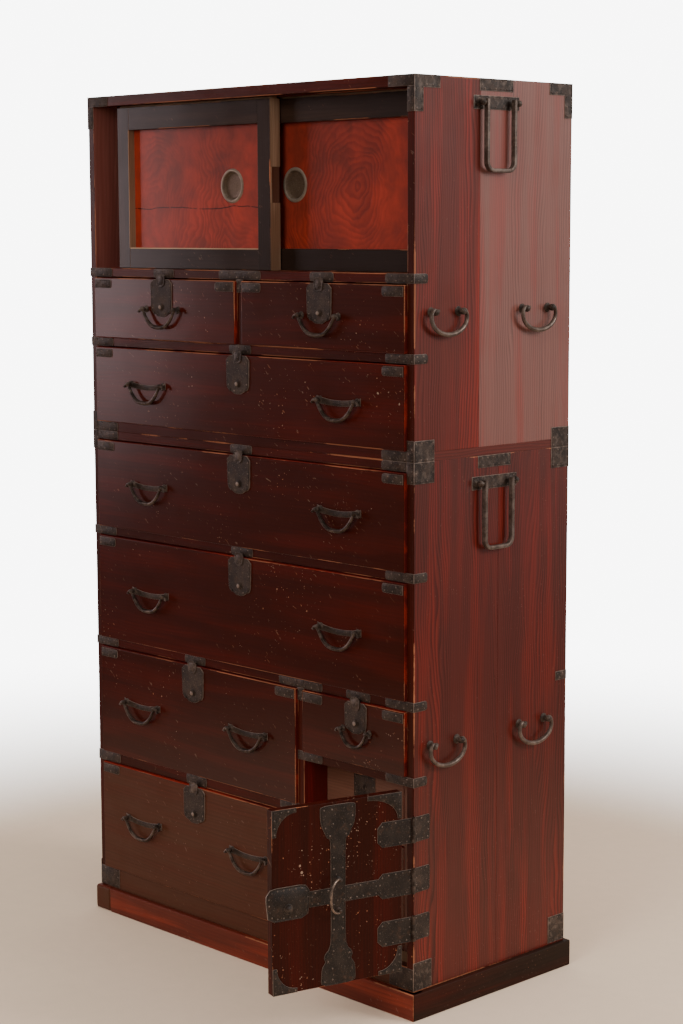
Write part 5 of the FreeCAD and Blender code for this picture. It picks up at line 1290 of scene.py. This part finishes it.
class ChestColours(bpy.types.PropertyGroup):
    """Colours of the finishes, in linear light."""

    side_red: colour_property("Side red", "Bright streaks of the sides", (0.27, 0.020, 0.0105))
    side_dark: colour_property("Side brown", "Ground of the sides", (0.112, 0.0175, 0.0105))
    # Paler ground of the back plank, partly painted sheen
    side_pale_and_sheen: colour_property("Hazy side", "Ground of the pale plank at the back", (0.20, 0.074, 0.056))
    front_red: colour_property("Front red", "Streaks of the fronts", (0.080, 0.0065, 0.0026))
    front_dark: colour_property("Front brown", "Ground of the fronts", (0.034, 0.0048, 0.0018))
    low_brown: colour_property("Low brown", "Ground of the lowest drawer", (0.070, 0.024, 0.012))
    edge_red: colour_property("Edge red", "Edges of the drawer fronts", (0.40, 0.030, 0.014))
    inner_red: colour_property("Inner red", "Ground inside the case", (0.110, 0.012, 0.009))
    inner_bright: colour_property("Inner bright red", "Streaks inside the case", (0.26, 0.014, 0.012))
    inner_brown: colour_property("Inner brown", "Inner drawers and worn inner walls", (0.14, 0.058, 0.036))
    inner_wall: colour_property("Inner wall", "Walls beside the sliding doors", (0.23, 0.070, 0.052))
    bead_tan: colour_property("Bead tan", "Bare wood on the frames' rubbed edges", (0.46, 0.29, 0.18))
    bead_brown: colour_property("Bead brown", "Darker parts of those edges", (0.24, 0.13, 0.075))
    raw_wood: colour_property("Raw wood", "Unfinished boards", (0.38, 0.23, 0.13))
    raw_dark: colour_property("Raw wood, dark", "Grain of unfinished boards", (0.25, 0.14, 0.075))
    worn_edge: colour_property("Worn edge", "Bare wood on arrises", (0.38, 0.135, 0.065))
    chip: colour_property("Chip", "Pale specks in the lacquer", (0.26, 0.165, 0.115))
    frame_black: colour_property("Frame black", "Frames of the sliding doors", (0.018, 0.0095, 0.0065))
    frame_brown: colour_property("Frame brown", "Browner streaks of those frames", (0.044, 0.022, 0.014))
    burl_red: colour_property("Panel red", "Bright parts of the panels", (0.29, 0.028, 0.013))
    burl_dark: colour_property("Panel deep red", "Deep parts of the panels", (0.135, 0.018, 0.010))
    plinth_red: colour_property("Plinth red", "Ground of the plinth's front", (0.10, 0.016, 0.008))
    plinth_bright: colour_property("Plinth bright red", "Bright parts of the plinth's front", (0.24, 0.030, 0.012))
    plinth_brown: colour_property("Plinth brown", "Ends of the plinth", (0.019, 0.0100, 0.0062))
    iron_dark: colour_property("Iron", "Blackened iron", (0.017, 0.0105, 0.0076))
    iron_worn: colour_property("Worn iron", "Cloudy lighter places", (0.058, 0.037, 0.027))
    # Rubbed iron, and painted highlight on plate edges, nail heads and domes
    iron_bright: colour_property("Bright iron", "Rubbed edges and nail heads", (0.24, 0.172, 0.136))
    # Lighter grey of the side handles: wear and painted sheen
    handle_grey: colour_property("Handle grey", "Rubbed iron of the side handles", (0.115, 0.085, 0.070))
    iron_rust: colour_property("Rust", "Brown patches on iron", (0.060, 0.028, 0.016))
    cup_dark: colour_property("Cup dark", "Floor of the finger cups", (0.095, 0.058, 0.037))
    cup_bronze: colour_property("Cup bronze", "Lighter parts of the cups", (0.13, 0.085, 0.052))
    # Cup rims: polish and painted highlight
    cup_rim: colour_property("Cup rim", "Rubbed rims of the cups", (0.26, 0.20, 0.15))
    floor: colour_property("Floor", "The stage's floor", (0.86, 0.66, 0.49))


# ---- operators ----

class CHEST_OT_cases(bpy.types.Operator):
    """Build the plinth and the boards of both cases."""

    bl_idname = "chest.cases"
    bl_label = "Cases"

    def execute(self, context):
        low, high = PLINTH_LOW, PLINTH_HIGH
        side, front_t = 48 * MM, 30 * MM
        arris = context.scene.chest_sizes.plinth_arris
        inner_left = low[0] + side
        x0, x1, y0, y1 = low[0], high[0], low[1], high[1]
        levels = (low[2], high[2])
        step, middle = 0.3 * MM, 19 * MM
        block = {0: "plinth_side", 2: "low_drawer", 3: "plinth_side"}
        boards = [
            board(x0, inner_left, y0, y1, *levels, 1, "plinth", block, arris * 2.2),
            board(inner_left, x1 - step, y0, y0 + front_t, *levels, 0, "plinth", {}, arris, None, (3,)),
            board(x1 - side, x1, y0 + step, y1, *levels, 1, "plinth_side", {}, arris),
            board(inner_left, x1 - side, y1 - front_t, y1, *levels, 0, "plinth_side", {}, arris),
            board(-middle, middle, y0 + front_t, y1 - front_t, *levels, 1, "bare"),
        ]
        wood_piece("plinth_boards", boards, "lower_case", ["plinth"], 3)
        wood_piece("lower_boards", lower_boards(), "lower_case", ["lower_case"], 11)
        wood_piece("upper_boards", upper_boards(), "upper_case", ["upper_case"], 12)
        return {"FINISHED"}


class CHEST_OT_drawers(bpy.types.Operator):
    """Build the eight drawers with their fittings and bails."""

    bl_idname = "chest.drawers"
    bl_label = "Drawers"

    def execute(self, context):
        arris = context.scene.chest_sizes.drawer_arris
        for number, node in enumerate(DRAWERS):
            finish = "low_drawer" if node == "drawer_left_low" else "drawer"
            boards = drawer_boards(node, DRAWER_FACE, DRAWER_T, finish, arris)
            wood_piece(node + "_boards", boards, node, [node], 20 + number)
            small = node == "drawer_right_small"
            kind = SMALL_BAIL if small else DRAWER_BAIL
            x0, x1 = opening(node)[:2]
            middle = (x0 + x1) / 2 + (RIGHT_LOCK_SHIFT if small else 0)
            work = Metalwork()
            crest = not (small or node.startswith("drawer_small"))
            drawer_fittings(work, node, RIGHT_LOCK if small else LOCK, middle, kind, crest, DRAWER_FACE)
            work.piece(node + "_fittings", node, [node + "_irons"], iron_finish("plate"))
            for index in (1, 2):
                name = "%s_bail_%d" % (node, index)
                if name in frame["nodes"]:
                    make_bail(name, name, kind, place(*JOINTS[name + "_swing"]["pos_m"]))
        return {"FINISHED"}


class CHEST_OT_safe(bpy.types.Operator):
    """Build the safe's inner drawers and its open door with strap-work."""

    bl_idname = "chest.safe"
    bl_label = "Safe"

    def execute(self, context):
        half, grip = 28 * MM, 18 * MM
        for number, node in enumerate(("safe_drawer_high", "safe_drawer_low")):
            boards = drawer_boards(node, SAFE_FRONT, INNER_T, "brown", 1.2 * MM)
            wood_piece(node + "_boards", boards, node, [node], 40 + number)
            x0, x1, z0, z1 = opening(node)
            middle, level = (x0 + x1) / 2, (z0 + z1) / 2
            work = Metalwork()
            face = place(middle, SAFE_FRONT, level + half / 2)
            put_plate(work, strap_outline(-half, half, -half, half, False, False), face, PLATE_T, RIM, 16 * MM)
            work.turn(KEY_RING, shifted(face, 0, 4 * MM, PLATE_T))
            slot_shape = np.array([(1.5, 0), (1.5, 9), (-1.5, 9), (-1.5, 0)]) * MM
            work.add(plate_surface(slot_shape, 0.3 * MM, 0.1 * MM), shifted(face, 0, 0, PLATE_T + 0.6 * MM))
            pull = JOINTS[node + "_pull_swing"]["pos_m"]
            for x in (-grip, grip):
                work.add(post_surface(6 * MM, 3.0 * MM), place(pull[0] + x, SAFE_FRONT, pull[2]))
            work.piece(node + "_fittings", node, [node + "_irons"], iron_finish("plate"))
            make_bail(node + "_pull", node + "_pull", INNER_PULL, place(*pull))
        door = board(*DOOR_X, FRONT, FRONT + DOOR_T, *DOOR_Z, 2, "door", {3: "inner_red"}, 1.3 * MM)
        wood_piece("safe_door_board", [door], "safe_door", ["safe_door"], 51, SWING)
        self.strap_work()
        return {"FINISHED"}

    def strap_work(self):
        """Straps, bells, corner plates, lock, leaves and posts on the door."""
        work = Metalwork()
        face = SWING @ place(0, FRONT, 0)
        low, high = DOOR_Z[0], DOOR_Z[1] - 5 * MM
        radius, height = 1.8 * MM, 0.9 * MM
        top = TOP_BELL_SHARES * [71 * MM, -62 * MM] + [0, high]
        foot = FOOT_BELL_SHARES * [71 * MM, 78 * MM] + [0, low]
        right = np.concatenate([top, foot[::-1]])
        outline = smooth_outline(np.concatenate([right, (right * [-1, 1])[::-1]]), 2) + [DOOR_MID, 0]
        put_plate(work, outline, face, PLATE_T, 1.5 * MM, 0)
        for level, way, spots in ((high, -1, TOP_BELL_NAILS), (low, 1, FOOT_BELL_NAILS)):
            places = [(DOOR_MID + s * u * MM, level + way * v * MM, PLATE_T) for s in (-1, 1) for u, v in spots]
            work.nails(places, face, radius, height)
        lock_x = DOOR_X[0] - 14 * MM + 44 * MM
        band = 14.5 * MM
        outline = strap_outline(lock_x + 43 * MM, DOOR_X[1] - 49 * MM, CROSS - band, CROSS + band, False, False)
        put_plate(work, outline, face, 1.1 * MM, 1.5 * MM, 13 * MM)
        lock = smooth_outline(DOOR_LOCK_SHARES * [88 * MM, 60 * MM] + [lock_x, CROSS], 1)
        put_plate(work, lock, face, LOCK_T, 1.8 * MM, 12 * MM, 5 * MM)
        work.turn(DOOR_KNOB, shifted(face, lock_x, CROSS - 10 * MM, LOCK_T), 20)
        for level in LEAF_LEVELS:
            hinge_leaf(work, SWING @ place(HINGE[0], HINGE[1], level), HINGE[0] - DOOR_X[1] + 50 * MM, False, (1,))
        arc = np.radians(np.linspace(0, 90, 9))
        down, end = 48, 8
        for across, right_end, upper_end in ((48, 0, 1), (48, 0, 0), (70, 1, 1), (48, 1, 0)):
            corner = (DOOR_X[right_end], DOOR_Z[upper_end])
            way = (-1 if right_end else 1, 1 if upper_end else -1)
            hollow = np.column_stack([across - (across - end) * np.sin(arc), -down + (down - end) * np.cos(arc)])
            shape = np.concatenate([[(0, -down), (0, 0), (across, 0)], hollow]) * MM
            put_plate(work, shape * way + corner, face, PLATE_T, 0, 0)
            places = [(corner[0] + way[0] * u * MM, corner[1] + way[1] * v * MM, PLATE_T) for u, v in CORNER_NAILS]
            work.nails(places, face, 1.7 * MM, height)
        for z in (-28 * MM, 28 * MM):
            work.add(post_surface(7 * MM, 3.8 * MM), SWING @ place(DOOR_MID, FRONT - PLATE_T, CROSS + z))
        work.piece("safe_door_fittings", "safe_door", ["safe_door_irons"], iron_finish("strap"))
        lean = place(DOOR_MID, FRONT - PLATE_T - 7 * MM, CROSS, 25)
        upright = turned_axes([0, 1, 0], [-1, 0, 0], [0, 0, 1])
        make_bail("safe_door_bail", "safe_door_bail", SAFE_BAIL, SWING @ lean @ upright, bow_line, 1.2, 0.75)


class CHEST_OT_sliding_doors(bpy.types.Operator):
    """Build the two sliding doors and their finger cups."""

    bl_idname = "chest.sliding_doors"
    bl_label = "Sliding doors"

    def execute(self, context):
        for number, side in enumerate(("left", "right")):
            node = "sliding_door_" + side
            low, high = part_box(node + "_pull")
            centre = (low + high) / 2
            boards = sliding_boards(node, centre.x, centre.z)
            wood_piece(node + "_boards", boards, node, [node], 60 + number)
            work = Metalwork()
            work.turn(CUP, place(centre.x, high.y - 6 * MM, centre.z), 64, np.repeat(CUP_RUB_AND_HIGHLIGHT, 64))
            work.piece(node + "_cup", node, [node + "_pull"], iron_finish("cup"))
        return {"FINISHED"}


class CHEST_OT_irons(bpy.types.Operator):
    """Build the fixed ironwork of both cases."""

    bl_idname = "chest.irons"
    bl_label = "Case ironwork"

    def execute(self, context):
        self.upper()
        self.lower()
        return {"FINISHED"}

    def strikes(self, work, names, height):
        """Round-ended plates on the rail above each named drawer."""
        for name in names:
            x0, x1, _, z1 = opening(name)
            x = (x0 + x1) / 2 + (RIGHT_LOCK_SHIFT if name == "drawer_right_small" else 0)
            front_plate(work, x - 31 * MM, x + 31 * MM, z1, z1 + height, True, True)

    def tee(self, work, x, z, height):
        """A strap with a tail down the upright below it."""
        front_plate(work, x - 59 * MM, x + 59 * MM, z, z + height, True, True)
        front_plate(work, x - 8.5 * MM, x + 8.5 * MM, z - 24 * MM, z)

    def seam_corners(self, work, side, low, high, rail):
        """Plates round a case's corners at the seam, and on the rail between them."""
        front_plate(work, side * INNER, side * HALF, low, high)
        front_plate(work, side * (HALF - 80 * MM), side * INNER, *rail, side > 0, side < 0)
        side_plate(work, side, FRONT - PLATE_T, FRONT + CORNER_REACH, low, high)
        side_plate(work, side, BACK - CORNER_REACH, BACK, low, high)

    def top_mark(self, work, side, level):
        """The plate above a pole handle, at the upper edge of a case side."""
        side_plate(work, side, -44 * MM, 44 * MM, level - 22 * MM, level)

    def upper(self):
        """Fittings of the upper case."""
        work = Metalwork()
        for side in (1, -1):
            front_plate(work, side * (HALF - PLATE_ARM), side * HALF, TOP_BOARD, TOP)
            front_plate(work, side * INNER, side * HALF, TOP - PLATE_ARM, TOP_BOARD)
            angle_plate(work, side, FRONT - PLATE_T, 1)
            angle_plate(work, side, BACK, -1)
            self.top_mark(work, side, TOP)
            rail_strap(work, SHELF, SLIDE, side)
            rail_strap(work, UPPER_WIDE[3], SMALL_LEFT[2], side)
            self.seam_corners(work, side, SEAM, SEAM + CORNER_H, (SEAM, UPPER_WIDE[2]))
        self.tee(work, 0, SHELF, RAIL_H)
        self.strikes(work, ("drawer_small_left", "drawer_small_right", "drawer_upper_wide"), RAIL_H)
        hangers(work, *hanger_places("upper"))
        work.piece("upper_fittings", "upper_case", ["upper_case_irons"], iron_finish("plate"))

    def lower(self):
        """Fittings of the lower case."""
        work = Metalwork()
        high = BASE_TOP - PLATE_T
        low, wrap = high - 40 * MM, high + 12 * MM
        for side in (1, -1):
            self.seam_corners(work, side, SEAM - CORNER_H, SEAM, (WIDE_TOP[3], SEAM))
            rail_strap(work, WIDE_MID[3], WIDE_TOP[2], side)
            rail_strap(work, LEFT_HIGH[3], WIDE_MID[2], side)
            front_plate(work, side * (HALF - 60 * MM), side * HALF, low, high)
            side_plate(work, side, FRONT - PLATE_T, FRONT + FOOT_REACH, low, wrap)
            side_plate(work, side, BACK - FOOT_REACH, BACK, low, wrap)
            side_plate(work, side, BACK - 31 * MM, BACK, LEFT_HIGH[3], WIDE_MID[2])
            self.top_mark(work, side, SEAM)
        rail_strap(work, LEFT_LOW[3], LEFT_HIGH[2], -1)
        rail_strap(work, SAFE_HEAD, RIGHT_SMALL[2], 1)
        self.tee(work, (DIVIDER_X + DIVIDER_END) / 2, LEFT_HIGH[3], RAIL_H)
        front_plate(work, DIVIDER_X, DIVIDER_END + 50 * MM, SAFE_HEAD, RIGHT_SMALL[2], False, True)
        front_plate(work, DIVIDER_X - 50 * MM, DIVIDER_END, LEFT_LOW[3], LEFT_HIGH[2], True, False)
        self.strikes(work, ("drawer_wide_top", "drawer_wide_middle", "drawer_left_high", "drawer_right_small"), RAIL_H)
        self.strikes(work, ("drawer_left_low",), LEFT_HIGH[2] - LEFT_LOW[3])
        for level in LEAF_LEVELS:
            hinge_leaf(work, place(HINGE[0], HINGE[1], level, 90), 43 * MM, True, (0, 2))
        hangers(work, *hanger_places("lower"))
        work.piece("lower_fittings", "lower_case", ["lower_case_irons"], iron_finish("plate"))
        pins = frame["nodes"]["hinge_pins"]
        pins.data.materials.clear()
        pins.data.materials.append(iron_finish("bar"))


class CHEST_OT_side_handles(bpy.types.Operator):
    """Build the carrying handles and bails on the sides."""

    bl_idname = "chest.side_handles"
    bl_label = "Side handles"

    def execute(self, context):
        for case in ("upper", "lower"):
            for side, turn in (("left", -90), ("right", 90)):
                node = "%s_pole_handle_%s" % (case, side)
                pole_handle(node, node)
                for end in ("front", "back"):
                    node = "%s_side_bail_%s_%s" % (case, side, end)
                    pos = JOINTS[node + "_swing"]["pos_m"]
                    # Side bails brightened: wear, and partly painted sheen
                    make_bail(node, node, SIDE_BAIL, place(*pos, turn), side_bail_line, 1.15, 0.45, "handle")
        return {"FINISHED"}


class CHEST_OT_stage(bpy.types.Operator):
    """Set the floor, the lights and the camera."""

    bl_idname = "chest.stage"
    bl_label = "Stage"

    def execute(self, context):
        scene = context.scene
        self.floor()
        self.world(scene)
        self.light("key_light", (4.3, 2.0, 2.9), (0.4, 0.0, 0.9), 1.8, 150)
        self.light("fill_light", (1.2, -4.6, 2.6), (0.0, -0.2, 0.8), 2.4, 125, False)
        self.light("top_light", (0.2, -0.4, 4.4), (0.0, 0.0, 0.5), 3.0, 50, False)
        self.camera(scene)
        return {"FINISHED"}

    def floor(self):
        """A flat disc of pale floor with a faint texture that fades out round the chest."""
        material, n, shader = new_material("floor_pale", Specular_IOR_Level=0.1)
        place_now = n.here()
        pale = colour("floor")
        tone = n.mix(n.noise(place_now, 30.0, 4.0, 0.6), pale, darker(pale, 0.92))
        dull = n.span(n.noise(place_now, 8.0), 0.2, 0.8, 0.8, 0.95)
        finish_material(n, shader, tone, dull, n.noise(place_now, 300.0), 0.0004)
        away = n.vector("LENGTH", place_now, out="Value")
        n.tree.links.new(n.span(away, 1.0, 3.05, 1.0, 0.0), shader.inputs["Alpha"])
        angle = 2 * math.pi * np.arange(64) / 64
        mesh = bpy.data.meshes.new("floor")
        rim = np.column_stack([3.1 * np.cos(angle), 3.1 * np.sin(angle), np.zeros(64)])
        mesh.from_pydata(rim.tolist(), [], [list(range(64))])
        mesh.materials.append(material)
        floor = bpy.data.objects.new("floor", mesh)
        bpy.context.scene.collection.objects.link(floor)

    def world(self, scene):
        """A light room, nearly dark to the front left, the way that the fronts mirror.

        Brightness rises from the floor's bounce to the ceiling. A pale band lies
        where the upper sides mirror it, and a soft window patch at the far left.
        """
        world = bpy.data.worlds.new("room")
        world.use_nodes = True
        scene.world = world
        n = Nodes(world.node_tree)
        background = world.node_tree.nodes["Background"]
        way = n.add("ShaderNodeTexCoord", out="Generated")
        apart = n.parts(way)
        left = n.math("ADD", n.math("MULTIPLY", apart[0], -0.71), n.math("MULTIPLY", apart[1], -0.70))
        ceiling = n.mix(n.span(apart[2], -0.1, 0.45), (0.06, 0.045, 0.035, 1.0), (0.80, 0.75, 0.70, 1.0))
        side_level = n.math("MULTIPLY", n.span(apart[2], -0.24, -0.03), n.span(apart[2], 0.4, 0.2))
        side_turn = n.math("MULTIPLY", n.span(left, -0.93, -0.98), n.span(apart[0], 0.72, 0.63, 0.25, 1.0))
        beside = n.mix(n.math("MULTIPLY", side_level, side_turn), ceiling, (3.0, 2.7, 2.6, 1.0))
        dark = n.mix(n.span(left, 0.35, 0.8), beside, (0.010, 0.008, 0.007, 1.0))
        patch_level = n.math("MULTIPLY", n.span(apart[2], -0.16, -0.02), n.span(apart[2], 0.4, 0.15))
        patch = n.math("MULTIPLY", n.span(apart[0], -0.752, -0.80), patch_level)
        room = n.mix(n.math("MULTIPLY", patch, n.span(left, 0.8, 0.9)), dark, (5.5, 4.5, 4.65, 1.0))
        seen = n.add("ShaderNodeLightPath", out="Is Camera Ray")
        world.node_tree.links.new(n.mix(seen, room, (8.0, 8.0, 8.0, 1.0)), background.inputs["Color"])

    def light(self, name, where, target, size, power, mirrored=True):
        """A square soft light aimed at a point, hidden from reflections unless mirrored."""
        lamp = bpy.data.lights.new(name, "AREA")
        lamp.shape, lamp.size, lamp.energy = "SQUARE", size, power
        item = bpy.data.objects.new(name, lamp)
        aim = Vector(where) - Vector(target)
        item.matrix_world = Matrix.Translation(where) @ aim.to_track_quat("Z", "Y").to_matrix().to_4x4()
        item.visible_glossy = mirrored
        bpy.context.scene.collection.objects.link(item)

    def camera(self, scene):
        """The photograph's viewing angle and lens."""
        turn, down, roll = math.radians(45.96), math.radians(7.62), math.radians(-0.18)
        forward = np.array([-math.sin(turn) * math.cos(down), math.cos(turn) * math.cos(down), -math.sin(down)])
        right = np.array([math.cos(turn), math.sin(turn), 0.0])
        up = np.cross(right, forward)
        across = math.cos(roll) * right + math.sin(roll) * up
        above = -math.sin(roll) * right + math.cos(roll) * up
        matrix = np.eye(4)
        matrix[:3, 0], matrix[:3, 1], matrix[:3, 2] = across, above, -forward
        matrix[:3, 3] = (3.022, -2.867, 1.419)
        lens = bpy.data.cameras.new("camera")
        lens.lens, lens.sensor_width, lens.sensor_fit = 75.0, 36.0, "AUTO"
        camera = bpy.data.objects.new("camera", lens)
        camera.matrix_world = Matrix(matrix.tolist())
        scene.collection.objects.link(camera)
        scene.camera = camera


STEPS = (CHEST_OT_cases, CHEST_OT_drawers, CHEST_OT_safe, CHEST_OT_sliding_doors, CHEST_OT_irons, CHEST_OT_side_handles,
         CHEST_OT_stage)


class CHEST_PT_panel(bpy.types.Panel):
    """The chest's steps and values in the sidebar."""

    bl_idname = "CHEST_PT_panel"
    bl_label = "Clothing chest"
    bl_space_type = "VIEW_3D"
    bl_region_type = "UI"
    bl_category = "Chest"

    def draw(self, context):
        layout = self.layout
        for step in STEPS:
            layout.operator(step.bl_idname)
        for values in (context.scene.chest_sizes, context.scene.chest_colours):
            box = layout.box()
            for name in values.__annotations__:
                box.prop(values, name)


CLASSES = (ChestSizes, ChestColours, *STEPS, CHEST_PT_panel)


def register():
    """Registers the classes and the scene's values."""
    for item in CLASSES:
        bpy.utils.register_class(item)
    bpy.types.Scene.chest_sizes = PointerProperty(type=ChestSizes)
    bpy.types.Scene.chest_colours = PointerProperty(type=ChestColours)


def unregister():
    """Takes the values and classes away again."""
    del bpy.types.Scene.chest_colours
    del bpy.types.Scene.chest_sizes
    for item in reversed(CLASSES):
        bpy.utils.unregister_class(item)


def main():
    """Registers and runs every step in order."""
    register()
    for step in STEPS:
        group, name = step.bl_idname.split(".")
        getattr(getattr(bpy.ops, group), name)()


if __name__ == "__main__":
    main()
